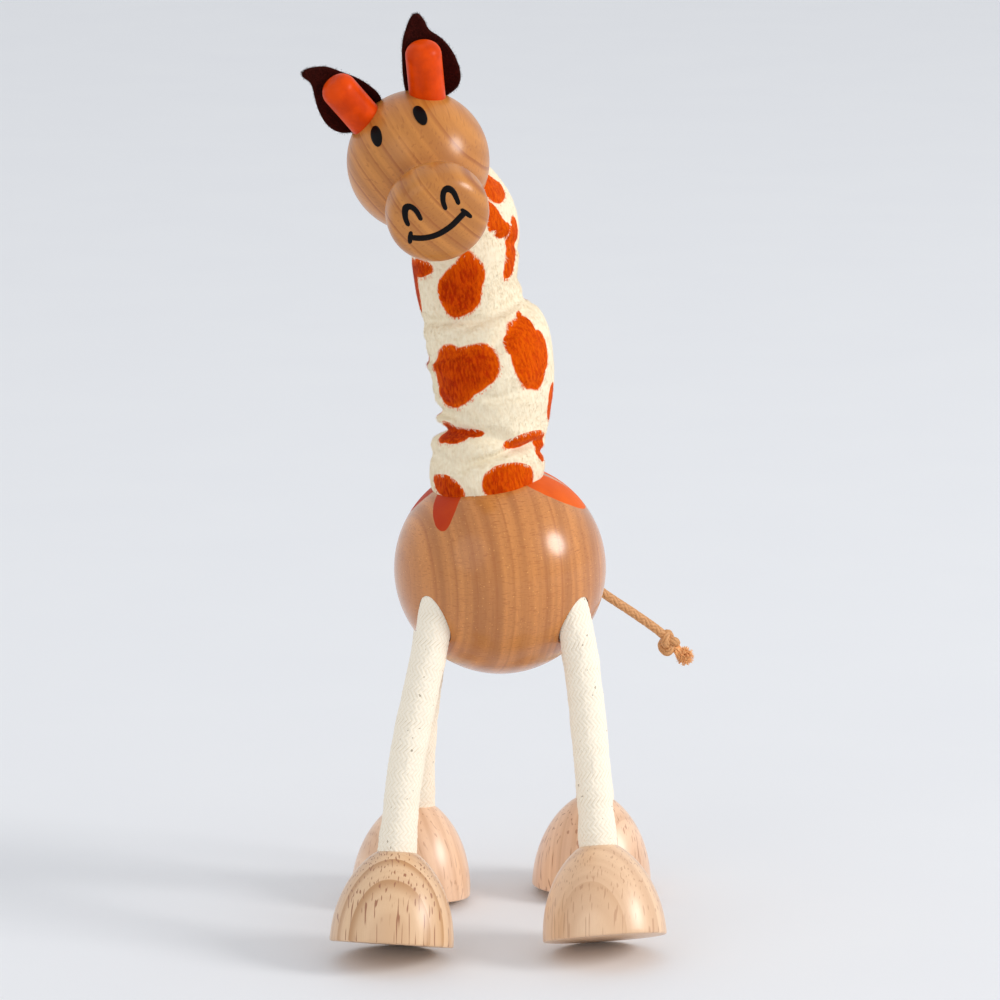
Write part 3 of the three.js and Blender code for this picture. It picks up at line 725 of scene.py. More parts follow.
def plush_finish():
    """Short pile: cream ground with orange spots, streaked along the pile, with painted shade that makes it
    darker at its roots.
    """
    finish = Finish("plush", Sheen_Weight=0.08, Sheen_Roughness=0.4, Specular_IOR_Level=0.05, Roughness=0.9)
    where = finish.position(rest=True)
    spot, heart, tone = (finish.attribute(name) for name in ("spot", "heart", "tone"))
    lengthways = (finish.along(where, axis) for axis in ((1.9, 0, 0.35), (0, 1.9, 0.3), (0.1, 0, 0.5)))
    streak = finish.noise(finish.join(*lengthways), 1.0, 3.0)
    ground, orange = colours().plush, colours().spots
    cream = finish.mix(streak.step(0.3, 0.7), shade(ground, 0.93, (1, 0.98, 0.93)), shade(ground, 1.04))
    thread = streak.step(0.34, 0.66)
    bright = finish.mix(thread, shade(orange, 1.0, (1, 0.9, 0.8)), shade(orange, 1.25, (1, 1.3, 1.0)))
    rust = finish.mix(thread, shade(orange, 0.6, (1, 0.42, 0.5)), shade(orange, 0.98, (1, 0.95, 0.8)))
    # heart is deeper red in a spot's middle, and weaker, as painted light, on the giraffe's left, which the
    # key lamp lights.
    rust = finish.mix(heart, bright, rust)
    edge = finish.mix(0.5, cream, shade(orange, 1.25, (1, 1.35, 1.2)))
    colour = finish.mix(spot.step(0.15, 0.5), cream, edge)
    colour = finish.mix(spot.step(0.45, 0.85), colour, rust)
    # Painted shade: darker cream and darker orange for the roots of the pile, which the tone attribute mixes
    # in.
    roots = shade(ground, 0.84, (1, 0.95, 0.86)), shade(orange, 0.6, (1, 0.55, 0.5))
    deep = finish.mix(spot.step(0.3, 0.7), *roots)
    finish.bump(streak, 0.1)
    return finish.set(Base_Color=finish.mix(tone, deep, colour))


def rope_finish(name, colour, gap_shade_share):
    """Braided yarn, with painted shade that darkens it in the gaps between the strands, and the odd dark
    fleck of seed.
    """
    finish = Finish(name, Sheen_Weight=0.15, Specular_IOR_Level=0.2, Roughness=0.85)
    where = finish.position(rest=True)
    weave = finish.attribute("weave")
    thread = finish.noise(where, 4.5, 2.0)
    speck = finish.noise(where, 1.15, 0.0).step(0.80, 0.83)
    shaded_gaps = (1.0 - weave.step(0.1, 0.35)) * finish.noise(where, 0.9, 1.0).step(0.45, 0.6)
    # Painted shade: darker in the braid's gaps, and a touch paler on the strands' tops.
    low = shade(colour, gap_shade_share, (1, 0.95, 0.84))
    tone = finish.mix(weave.step(0.05, 0.75), low, shade(colour, 1.04))
    tone = finish.mix(thread.step(0.45, 0.75) * 0.3, tone, shade(colour, 0.82, (1, 0.97, 0.9)))
    tone = finish.mix(shaded_gaps * 0.5, tone, shade(colour, 0.62, (1, 0.93, 0.8)))
    tone = finish.mix(speck * 0.65, tone, shade(colour, 0.25, (1, 0.8, 0.6)))
    finish.bump(thread * 0.6 + weave * 0.4, 0.08)
    return finish.set(Base_Color=tone)


def cord_finish(name, share):
    """Waxed tan cord with paler threads, and painted shade that darkens it in the gaps of the braid."""
    colour = shade(colours().tail, share)
    finish = Finish(name, Coat_Weight=0.15, Coat_Roughness=0.4, Specular_IOR_Level=0.35, Roughness=0.6)
    where = finish.position(rest=True)
    weave = finish.attribute("weave")
    thread = finish.noise(where, 3.4, 2.0)
    # Painted shade: darker where the weave attribute is low, in the braid's gaps.
    tone = finish.mix(weave.step(0.1, 0.8), shade(colour, 0.66, (1, 0.9, 0.78)), shade(colour, 1.08))
    tone = finish.mix(thread.step(0.5, 0.75) * 0.5, tone, shade(colour, 1.45, (1, 1.1, 1.2)))
    finish.bump(thread * 0.5 + weave * 0.5, 0.06)
    return finish.set(Base_Color=tone)


def hidden_finishes():
    """Steel wire, cotton core and wadding, which show only where a piece is taken off."""
    steel = Finish("annealed_wire", Metallic=1.0)
    where = steel.position()
    drawn = steel.noise(where, 3.0, 3.0)
    steel.bump(drawn, 0.02)
    steel.set(Base_Color=steel.mix(drawn, rgb(95, 96, 99), rgb(150, 151, 154)), Roughness=0.35 + drawn * 0.2)
    core = fluffy_finish("cotton_core", 0.9, 1.8, 3.0, 0.15, rgb(214, 203, 184), rgb(242, 234, 218))
    wadding = fluffy_finish("wadding", 0.95, 1.2, 4.0, 0.4, rgb(226, 223, 216), rgb(247, 246, 242))
    return {"wire": steel.material, "rope": core, "foam": wadding, "tail": core}


def fluffy_finish(name, roughness, scale, detail, rise, dark, light):
    """Loose cotton: soft lumps, with painted light that makes them paler where they stand up and painted
    shade in the hollows.
    """
    finish = Finish(name, Roughness=roughness)
    lumps = finish.noise(finish.position(), scale, detail)
    finish.bump(lumps, rise)
    return finish.set(Base_Color=finish.mix(lumps.step(0.3, 0.7), dark, light))


# ---------------------------------------------------------------------------------------------------
# Shapes that pieces share
# ---------------------------------------------------------------------------------------------------


def head_turn():
    """The head's own axes as a matrix: its left, its back and its crown."""
    yaw, pitch, roll = (math.radians(angle) for angle in (HEAD_YAW, HEAD_PITCH, HEAD_ROLL))
    return Matrix.Rotation(yaw, 4, "Z") @ Matrix.Rotation(pitch, 4, "X") @ Matrix.Rotation(roll, 4, "Y")


def head_frame():
    """The matrix from the head's own frame, in metres, to the model."""
    return Matrix.Translation(place(HEAD_CENTRE)) @ head_turn()


def upright_to(axis):
    """A matrix that turns +Z to an axis."""
    return Vector((0, 0, 1)).rotation_difference(Vector(axis)).to_matrix().to_4x4()


def leaning(across, back):
    """The way up, tilted by angles across and back in degrees."""
    return Vector((math.tan(math.radians(across)), math.tan(math.radians(back)), 1)).normalized()


def hoof_stance(leg):
    """The middle of a hoof's sole and the way up through the hoof."""
    facts = LEGS[leg]
    axis = leaning(facts["lean"], facts["toe"])
    lift = (sizes().hoof / MM - 0.4) * math.sqrt(1 - axis.z * axis.z)
    return Vector((*facts["hoof"], lift)), axis


def hoof_profile(radius, height):
    """Up a hoof's side: a small round at the sole, then an arc that starts upright, then a flat top."""
    side = []
    for i in range(41):
        h = height * i / 40
        side.append((radius - HOOF_SIDE_ARC + math.sqrt(HOOF_SIDE_ARC**2 - h * h), h))
    scale = (radius - HOOF_TOP_RADIUS) / (radius - side[-1][0])
    side = [(radius - (radius - r) * scale, h) for r, h in side]
    edge = [
        (radius - HOOF_EDGE + HOOF_EDGE * math.sin(a), HOOF_EDGE - HOOF_EDGE * math.cos(a))
        for a in np.linspace(0, 1.45, 6)
    ]
    top = [(HOOF_TOP_RADIUS - 0.25, height + 0.1), (HOOF_TOP_RADIUS - 0.8, height + 0.12), (0, height + 0.12)]
    return [(0, 0), (radius * 0.5, 0), *edge, *[p for p in side if 0.5 < p[1] < height - 0.1], *top]


def head_profile(radius):
    """From the back of the head ball, over the crease, round the snout's rim to its domed front."""
    ball = [(radius * math.sin(a), -radius * math.cos(a)) for a in np.linspace(0, math.radians(HEAD_ARC), 80)]

    def snout(along):
        share = abs(along - SNOUT_CENTRE) / SNOUT_HALF_LENGTH
        power = 2.6 if along < SNOUT_CENTRE else 3.0
        return SNOUT_RADIUS * max(0.0, 1 - share**power) ** (1 / power)

    bead = [SNOUT_CENTRE + SNOUT_HALF_LENGTH * math.sin(a) for a in np.linspace(-1.2, math.pi / 2, 60)]
    bead = [(snout(along), along) for along in bead]
    lower = [p for p in ball if p[1] < HEAD_CREASE - 0.7]
    upper = [p for p in bead if p[1] > HEAD_CREASE + 0.9]
    dip = [(min(lower[-1][0], upper[0][0]) + 0.12, HEAD_CREASE + 0.1)]
    upper[-1] = (0.0, upper[-1][1])
    return [*lower, *dip, *upper]


def horn_place(side):
    """A horn peg's foot and axis in the head's own frame. side is 1 on the left and -1 on the right."""
    root = Vector((side * HORN_BASE[0] + 0.3, HORN_BASE[1], HORN_BASE[2]))
    axis = leaning(side * HORN_SPLAY, HORN_SWEEP)
    return root - axis * HORN_EMBED, axis


NECK = Guide([*NECK_ROUTE, HEAD_CENTRE], (1, 0, 0))
NECK_HEIGHTS = NECK.points[:, 2]


def neck_distance(height):
    """How far along the neck's middle a height is."""
    return np.interp(height, NECK_HEIGHTS, NECK.distance)


def round_neck(turn):
    """Places across and back at turns round the plush."""
    return np.sin(turn) * PLUSH_RADIUS, np.cos(turn) * PLUSH_RADIUS


def bend(pieces, guide, pivot, reach, below, above):
    """Works out the places a reach each side of a distance along a guide, and bakes each piece's place into
    its mesh.
    """
    points = guide.sample(guide.points, np.array([pivot - reach, pivot + reach]))
    for piece in pieces:
        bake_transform(piece)


def plush_radius(turn, height):
    """The plush's radius at turns (radians from the front) and heights, with its folds pressed in."""
    degrees = np.degrees(turn)
    table = np.array(PLUSH_RADII)
    radius = np.interp(height, table[:, 0], table[:, 1])
    for middle, rise, deepest, reach, depth, width in PLUSH_FOLDS:
        away = np.abs(np.mod(degrees - deepest + 180, 360) - 180)
        off = height - (middle + rise * np.sin(turn))
        near = smooth(1 - away / reach, 0, 0.6)
        radius = radius - depth * near * np.exp(-((off / width) ** 2))
        radius = radius + 0.2 * depth * near * np.exp(-(((np.abs(off) - 2.1 * width) / (1.3 * width)) ** 2))
    x, y = round_neck(turn)
    return radius + 0.22 * rough(x, y, height, 0.35, 11) + 0.1 * rough(x, y, height, 0.9, 12)


def plush_spot(turn, height):
    """How far inside a printed spot: above 0 inside, with ragged edges."""
    degrees = np.degrees(turn)
    best = np.full_like(degrees, -9.0)
    for middle, at, half, tall, lean in PLUSH_SPOTS:
        off = np.mod(degrees - middle - lean * (height - at) + 180, 360) - 180
        inside = 1 - (np.abs(off / half) ** 2.3 + np.abs((height - at) / tall) ** 2.3)
        best = np.maximum(best, inside)
    x, y = round_neck(turn)
    return best + 0.16 * rough(x, y, height, 0.7, 21) + 0.05 * rough(x, y, height * 0.5, 2.5, 22)


def spot_heart(turn, depth):
    """How deep and red a spot is: most in its middle, and less towards the giraffe's left, as painted light
    from the key lamp on that side.
    """
    return smooth(depth, 0.05, 0.75) * (1 - 0.75 * smooth(np.degrees(turn), 0, 35))


def pile(name, low, high, count, seed, material):
    """Short fibres that lie down over a length of plush, each with its root's colour."""
    draw = np.random.default_rng(seed)
    turn = draw.uniform(-math.pi, math.pi, count)
    height = draw.uniform(low, high, count)

    def roots(round_by=0.0, up_by=0.0):
        near, level = turn + round_by / PLUSH_RADIUS, height + up_by
        return NECK.wrap(near, neck_distance(level), plush_radius(near, level) - PILE_ROOT)

    step = 0.15
    root = roots()
    rise = roots(up_by=step) - root
    normal = unit(np.cross(roots(round_by=step) - root, rise))
    out = root - NECK.sample(NECK.points, neck_distance(height))
    normal *= np.sign((normal * out).sum(1))[:, None]
    down = -unit(rise)
    across = np.cross(normal, down)
    reach = sizes().pile / MM * draw.uniform(0.65, 1.25, count)[:, None]
    comb = 0.5 * rough(*root.T, 0.5, seed + 5)[:, None] + draw.normal(0, 0.3, (count, 1))
    lean = draw.uniform(0.35, 0.75, count)[:, None]
    upright = draw.uniform(0.25, 0.7, (count, 1))
    first = root + (normal * upright * 0.8 + (down + across * comb) * (1.15 - upright * 0.8)) * reach * 0.5
    tip = first + (normal * lean * upright * 0.5 + (down + across * comb) * 0.85) * reach * 0.5
    half = across * PILE_HALF_WIDTH * draw.uniform(0.7, 1.3, (count, 1))
    corners = [root - half, root + half, first + half * 0.8, first - half * 0.8, tip]
    points = np.stack(corners, axis=1).reshape(-1, 3)
    base = np.arange(count)[:, None] * 5
    quads = base + np.array([3, 2, 1, 0])
    tips = base + np.array([4, 2, 3])
    data = bpy.data.meshes.new(name)
    data.from_pydata([(0, 0, 0)] * (count * 5), [], [*quads.tolist(), *tips.tolist()])
    depth = plush_spot(turn, height)
    spot = smooth(depth + draw.normal(0, 0.07, count), -0.15, 0.12)
    heart = spot_heart(turn, depth + draw.normal(0, 0.12, count))
    # Each fibre's tone varies at random. Painted shade darkens its root to 0.8 of that tone, and painted
    # light lifts its tip to 1.1 times.
    tone = np.clip(0.9 + draw.normal(0, 0.08, count), 0.5, 1.0)
    shades = np.stack([tone * 0.8, tone * 0.8, tone, tone, np.minimum(1, tone * 1.1)], axis=1)
    values = {"spot": np.repeat(spot, 5), "heart": np.repeat(heart, 5), "tone": shades.ravel()}
    set_points(data, points, values)
    fibres = finished_data(name, data, material)
    facing = unit(normal + across * comb * 0.25 + draw.normal(0, 0.08, (count, 3)))
    fibres.data.normals_split_custom_set_from_vertices(np.repeat(facing, 5, axis=0).tolist())
    return fibres


# ---------------------------------------------------------------------------------------------------
# Operators
# ---------------------------------------------------------------------------------------------------


class GIRAFFE_OT_stage(bpy.types.Operator):
    """Add the camera, the pale floor and the soft studio light"""

    bl_idname = "giraffe.stage"
    bl_label = "Stage"

    def execute(self, context):
        scene = context.scene
        scene.view_settings.view_transform = "Standard"
        camera = bpy.data.objects.new("camera", bpy.data.cameras.new("camera"))
        camera.data.lens = CAMERA_LENS
        camera.data.sensor_width = 36
        camera.data.clip_start, camera.data.clip_end = 0.01, 20
        camera.location = place(CAMERA_PLACE)
        camera.rotation_euler = (math.radians(90 - CAMERA_TILT), 0, 0)
        scene.collection.objects.link(camera)
        scene.camera = camera
        self.floor(scene)
        for name, facts in LAMPS.items():
            self.light(name, *facts)
        world = bpy.data.worlds.new("studio")
        world.use_nodes = True
        background = world.node_tree.nodes["Background"]
        background.inputs[0].default_value = SKY_COLOUR
        background.inputs[1].default_value = SKY_STRENGTH
        scene.world = world
        return {"FINISHED"}

    def floor(self, scene):
        """The wide pale floor that the giraffe stands on."""
        finish = Finish("pale_floor", Roughness=0.7, Specular_IOR_Level=0.2)
        grain = finish.noise(finish.position(), 0.02, 2.0)
        finish.set(Base_Color=finish.mix(grain, rgb(235, 237, 241), rgb(238, 240, 243)))
        mesh = bmesh.new()
        bmesh.ops.create_grid(mesh, x_segments=8, y_segments=8, size=FLOOR_HALF_WIDTH)
        data = mesh_data("floor", mesh)
        data.materials.append(finish.material)
        floor = bpy.data.objects.new("floor", data)
        scene.collection.objects.link(floor)

    def light(self, name, way, distance, size, power, colour):
        """A round soft lamp that faces the giraffe."""
        lamp = bpy.data.lights.new(name, "AREA")
        lamp.shape, lamp.size, lamp.energy, lamp.color = "DISK", size, power, colour
        thing = bpy.data.objects.new(name, lamp)
        target = place(LAMP_TARGET)
        thing.location = target + Vector(way).normalized() * distance
        thing.rotation_euler = (thing.location - target).to_track_quat("Z", "Y").to_euler()
        bpy.context.scene.collection.objects.link(thing)


class GIRAFFE_OT_tail(bpy.types.Operator):
    """Add the tail: its cord, its overhand knot and its frayed end"""

    bl_idname = "giraffe.tail"
    bl_label = "Tail"

    def execute(self, context):
        radius = sizes().tail / MM
        finish = cord_finish("waxed_cord", 1.0)
        guide = Guide([*TAIL_ROUTE, KNOT_CENTRE], (0.2, 1, 0.6), 0.2)
        length = guide.distance[-1]

        def wrap(turn, share):
            at = share * length
            weave = braid(turn, at, *CORD_BRAID)
            return guide.wrap(turn, at, radius - 0.14 + 0.17 * weave), {"weave": weave}

        cord = skin("tail_cord_visual", 36, 220, wrap, finish, ["tail_cord"])
        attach(cord, "tail")
        knot = self.knot(radius, finish)
        tuft = self.tuft(cord_finish("combed_cord", 1.55))
        route = [tuple(place(point)) for point in spline([*TAIL_ROUTE, KNOT_CENTRE], length / 28)[0]]
        return {"FINISHED"}

    def knot(self, radius, finish):
        """A tight overhand knot: one strand that goes twice round and under itself."""
        t = np.linspace(0, math.tau, 90)
        x, z = np.sin(t) + 2 * np.sin(2 * t), np.cos(t) - 2 * np.cos(2 * t)
        points = np.stack([KNOT_SIZE * x, KNOT_DEPTH * np.sin(3 * t), KNOT_SIZE * z], axis=1)
        about_y, about_z = (math.radians(angle) for angle in KNOT_TURNS)
        turn = Matrix.Rotation(about_y, 3, "Y") @ Matrix.Rotation(about_z, 3, "Z")
        points = points @ np.array(turn).T * np.array(KNOT_STRETCH) + np.array(KNOT_CENTRE)
        loop = Guide(points[:-1], (0.1, 1, 0.2), 0.2)

        def wrap(turn, share):
            at = share * loop.distance[-1]
            weave = braid(turn, at, *CORD_BRAID)
            return loop.wrap(turn, at, radius * 0.93 - 0.12 + 0.16 * weave), {"weave": weave}

        piece = skin("tail_knot_visual", 28, 150, wrap, finish, ["tail_knot"])
        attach(piece, "tail")
        return piece

    def tuft(self, finish):
        """The cord's end past the knot, combed out into soft threads."""
        draw = np.random.default_rng(5)
        start = np.array(KNOT_CENTRE) + np.array([1.3, 0.3, -1.2])
        middle = np.array(TUFT_CENTRE)
        way = middle - start
        way /= np.linalg.norm(way)
        mesh = bmesh.new()
        threads = []
        for _ in range(TUFT_THREADS):
            aim = draw.normal(size=3)
            aim = aim / np.linalg.norm(aim) * TUFT_RADIUS * draw.uniform(0.7, 1.06)
            end = middle + aim
            if (end - start) @ way < 0.4:
                end = middle - aim
            bend = start + way * 1.3 + (end - start) * 0.45 + draw.normal(0, 0.42, 3)
            threads.append(spline([start + draw.normal(0, 0.35, 3), bend, end], 0.8)[0])
        for line in threads:
            rings = []
            for i, centre in enumerate(line):
                width = THREAD_RADIUS * (1 - 0.6 * i / (len(line) - 1))
                ring = bmesh.ops.create_circle(mesh, segments=THREAD_SIDES, radius=width)["verts"]
                bmesh.ops.translate(mesh, verts=ring, vec=Vector(centre))
                rings.append(ring)
            for lower, upper in zip(rings, rings[1:]):
                for i in range(THREAD_SIDES):
                    after = (i + 1) % THREAD_SIDES
                    mesh.faces.new((lower[i], lower[after], upper[after], upper[i]))
            mesh.faces.new(rings[0])
            mesh.faces.new(rings[-1])
        bmesh.ops.recalc_face_normals(mesh, faces=mesh.faces)
        data = mesh_data("tail_tuft_visual", mesh)
        spots = vectors(data)
        set_points(data, spots, {"weave": np.full(len(spots), 0.95)})
        piece = finished_data("tail_tuft_visual", data, finish, ["tail_tuft"])
        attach(piece, "tail")
        return piece


class GIRAFFE_OT_body(bpy.types.Operator):
    """Add the turned body ball with the holes that the ropes and the tail go into"""

    bl_idname = "giraffe.body"
    bl_label = "Body"

    def execute(self, context):
        mesh = bmesh.new()
        bmesh.ops.create_uvsphere(mesh, u_segments=160, v_segments=96, radius=sizes().body)
        bmesh.ops.transform(mesh, matrix=Matrix.Translation(place(BODY_CENTRE)), verts=mesh.verts)
        ball = finished("body_ball_visual", mesh, body_finish(), ["body_ball"])
        holes = bmesh.new()
        bore = sizes().rope / MM + LEG_BORE_PLAY
        for facts in LEGS.values():
            way = (Vector(facts["hip"]) - Vector(facts["socket"])).normalized()
            self.cutter(holes, Vector(facts["socket"]) - way * LEG_BORE_PAST, way, bore, LEG_BORE_LENGTH)
        tail = Vector(TAIL_ROUTE[0])
        inwards = (Vector(BODY_CENTRE) - tail).normalized()
        self.cutter(holes, tail + inwards * TAIL_BORE_DEPTH, -inwards, TAIL_BORE_RADIUS, TAIL_BORE_LENGTH)
        cutter = bpy.data.objects.new("holes", mesh_data("holes", holes))
        context.scene.collection.objects.link(cutter)
        cut = ball.modifiers.new("holes", "BOOLEAN")
        cut.object, cut.operation, cut.solver = cutter, "DIFFERENCE", "EXACT"
        context.view_layer.update()
        modified(ball)
        bpy.data.objects.remove(cutter)
        sharpen(ball.data, 35)
        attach(ball, "torso")
        return {"FINISHED"}

    def cutter(self, mesh, start, way, radius, length):
        """Adds a rod that cuts a bore from a start, along a way."""
        matrix = Matrix.Translation(place(start + way * (length / 2))) @ upright_to(way)
        bmesh.ops.create_cone(
            mesh, cap_ends=True, cap_tris=False, segments=64, radius1=radius * MM, radius2=radius * MM,
            depth=length * MM, matrix=matrix,
        )


class GIRAFFE_OT_head(bpy.types.Operator):
    """Add the turned head, its horn pegs and its painted face"""

    bl_idname = "giraffe.head"
    bl_label = "Head"

    def execute(self, context):
        nose = head_frame() @ Matrix.Rotation(math.radians(90), 4, "X")
        mesh = turned(head_profile(sizes().head / MM), nose, 128)
        surface = BVHTree.FromBMesh(mesh)
        head = finished("head_visual", mesh, head_finish(), ["head"])
        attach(head, "head")
        self.horns()
        black = paint_finish("black_paint", colours().black, 0.3)
        strokes = []
        for number, (front, back) in enumerate(EYES):
            strokes.append((f"eye_{number}", [front, back], 1.22, 2.0, (0, 0, -1)))
        for number, line in enumerate(NOSTRILS):
            strokes.append((f"nostril_{number}", line, 0.6, 0.3, (0, 1, 0)))
        strokes.append(("mouth", MOUTH, 0.7, 0.0, (0, 1, 0)))
        for number, line in enumerate(MOUTH_ENDS):
            strokes.append((f"mouth_end_{number}", line, 0.5, 0.35, (0, 1, 0)))
        for name, line, half, taper, towards in strokes:
            self.stroke(name, line, half, taper, Vector(towards), surface, black)
        return {"FINISHED"}

    def horns(self):
        """The two painted pegs with rounded ends."""
        orange = paint_finish("orange_paint", colours().orange)
        radius = sizes().horn / MM
        flat = radius - HORN_ROUND
        dome = [
            (flat + HORN_ROUND * math.cos(a), HORN_LENGTH - HORN_ROUND + HORN_ROUND * math.sin(a))
            for a in np.linspace(0, math.pi / 2, 24)
        ]
        side = [(radius, h) for h in np.linspace(0, HORN_LENGTH - HORN_ROUND, 20)[1:-1]]
        profile = [(0, 0), (radius - 0.1, 0), (radius, 0.1), *side, *dome, (0, HORN_LENGTH)]
        for word, sign in (("left", 1), ("right", -1)):
            start, axis = horn_place(sign)
            matrix = head_frame() @ Matrix.Translation(start * MM) @ upright_to(axis)
            mesh = turned(profile, matrix, 64)
            peg = finished(f"{word}_horn_visual", mesh, orange, [f"{word}_horn_peg"])
            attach(peg, "head")

    def stroke(self, name, line, half, taper, towards, surface, material):
        """A brush stroke pressed on the head, along the way towards. A taper over 1 makes an oval."""
        flat = abs(towards.z) > 0.5
        points = [(x, y, 0) if flat else (x, 0, y) for x, y in line]
        fine, distance = spline(points, 0.12)
        length = distance[-1]
        mesh = bmesh.new()
        along, across = len(fine) - 1, 8
        bmesh.ops.create_grid(mesh, x_segments=across, y_segments=along, size=0.5)
        frame_matrix = head_frame()
        for vert in mesh.verts:
            share = vert.co.y + 0.5
            gone = share * length
            spot, ahead, behind = (
                np.array([np.interp(at, distance, fine[:, k]) for k in range(3)])
                for at in (gone, min(length, gone + 0.1), max(0, gone - 0.1))
            )
            way = ahead - behind
            way /= np.linalg.norm(way)
            sideways = np.cross(way, np.array(towards))
            if taper > 1:
                width = half * math.sqrt(max(0.0, 1 - (2 * share - 1) ** 2))
            else:
                near = min(gone, (1 - share) * length)
                round_end = math.sqrt(max(0.0, 1 - max(0.0, 1 - near / half) ** 2))
                width = half * round_end * (1 - taper * abs(2 * share - 1) ** 1.5)
            local = spot + sideways * width * (vert.co.x * 2)
            start = frame_matrix @ (Vector(local) * MM - towards * 0.05)
            way_out = (frame_matrix.to_3x3() @ towards).normalized()
            found, normal, _, _ = surface.ray_cast(start, way_out)
            if found is None:
                raise RuntimeError(f"the stroke {name} misses the head")
            vert.co = found + normal * (0.05 + 0.05 * (1 - (vert.co.x * 2) ** 2)) * MM
        bmesh.ops.remove_doubles(mesh, verts=mesh.verts, dist=1e-6)
        bmesh.ops.recalc_face_normals(mesh, faces=mesh.faces)
        bmesh.ops.solidify(mesh, geom=mesh.faces[:], thickness=0.12 * MM)
        bmesh.ops.recalc_face_normals(mesh, faces=mesh.faces)
        piece = finished(f"face_{name}", mesh, material)
        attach(piece, "head")


class GIRAFFE_OT_ears(bpy.types.Operator):
    """Add the felt ears, curled round the backs of the horn pegs"""

    bl_idname = "giraffe.ears"
    bl_label = "Ears"

    # Up each ear: how high above the head, then its inner edge and its outer edge from the peg's middle.
    ROWS = {
        "left": [
            (-4.2, -2.2, 3.8), (-3.1, -3.0, 5.3), (-2.2, -3.6, 6.3), (-1.0, -3.9, 7.1), (0.9, -4.1, 7.6),
            (2.9, -4.1, 7.6), (4.5, -4.0, 7.3), (6.1, -3.9, 6.8), (7.7, -3.8, 6.0), (9.2, -3.6, 4.9),
            (10.2, -3.4, 3.8), (11.1, -3.1, 2.7), (12.1, -2.6, 2.1), (13.1, -2.1, 1.8), (14.2, -1.4, 1.3),
            (15.0, -0.8, 0.8), (15.3, -0.4, 0.4),
        ],
        "right": [
            (-4.0, -2.6, 3.4), (-3.0, -3.2, 4.6), (-1.8, -4.0, 5.8), (-0.6, -4.7, 6.5), (1.4, -5.0, 7.1),
            (3.8, -4.5, 7.2), (6.5, -3.4, 6.6), (8.6, -2.3, 5.7), (10.4, -1.3, 4.8), (11.9, -0.2, 4.4),
            (13.1, 1.2, 4.6), (13.9, 2.2, 4.7), (14.4, 3.0, 4.6), (14.7, 3.6, 4.3),
        ],
    }

    def execute(self, context):
        felt = felt_finish()
        for word, side in (("left", 1), ("right", -1)):
            piece = self.ear(word, side, felt)
            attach(piece, "head")
            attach(self.fuzz(word, piece, felt), "head")
        return {"FINISHED"}

    def fuzz(self, word, ear, felt):
        """Loose fibres that stand off the felt."""
        draw = np.random.default_rng(71)
        pick = draw.integers(0, len(ear.data.vertices), 5000)
        root = (vectors(ear.data)[pick] - np.array(SHIFT)) / MM + draw.normal(0, 0.12, (len(pick), 3))
        out = vectors(ear.data, "normal")[pick]
        way = unit(out * 0.6 + draw.normal(0, 0.6, out.shape))
        across = 0.03 * unit(np.cross(way, draw.normal(size=out.shape)))
        tip = root + way * draw.uniform(0.15, 0.5, (len(pick), 1))
        points = np.stack([root - across, root + across, tip], axis=1).reshape(-1, 3)
        data = bpy.data.meshes.new(f"{word}_ear_fuzz")
        data.from_pydata([(0, 0, 0)] * len(points), [], np.arange(len(points)).reshape(-1, 3).tolist())
        set_points(data, points, {})
        return finished_data(f"{word}_ear_fuzz", data, felt, smooth=False)

    def ear(self, word, side, felt):
        """A leaf of felt with a rounded rim, hollowed towards the peg."""
        rows = spline(self.ROWS[word], 0.2)[0]
        start, axis = horn_place(side)
        foot = start + axis * (HORN_EMBED + 0.2) + Vector((0, HORN_RADIUS + 0.95, 0))
        matrix = np.array(head_turn() @ Matrix.Translation(foot) @ upright_to(axis))
        half = sizes().ear / MM / 2

        def wrap(turn, share):
            at = share * (len(rows) - 1)
            up, inner, outer = (np.interp(at, np.arange(len(rows)), rows[:, k]) for k in range(3))
            across = inner + (outer - inner) * np.clip(0.5 + 0.5 * np.sin(turn), 0, 1)
            rim = np.minimum(1, np.minimum(across - inner, outer - across) / (half * 1.4))
            end = np.clip((1 - share) * 14, 0, 1)
            thick = half * quarter_round(rim) * quarter_round(end)
            bowl = -(across**2) / 22 + 0.5 * (up / 15) ** 2 + 0.2 * np.sin(up * 0.6 + across * 0.5)
            depth = bowl + thick * np.where(np.cos(turn) > 0, -1, 1)
            points = np.stack([side * across, depth, up, np.ones_like(up)], axis=1) @ matrix.T
            return points[:, :3] + np.array(HEAD_CENTRE), {}

        return skin(f"{word}_ear_visual", 96, 90, wrap, felt, [f"{word}_ear"])


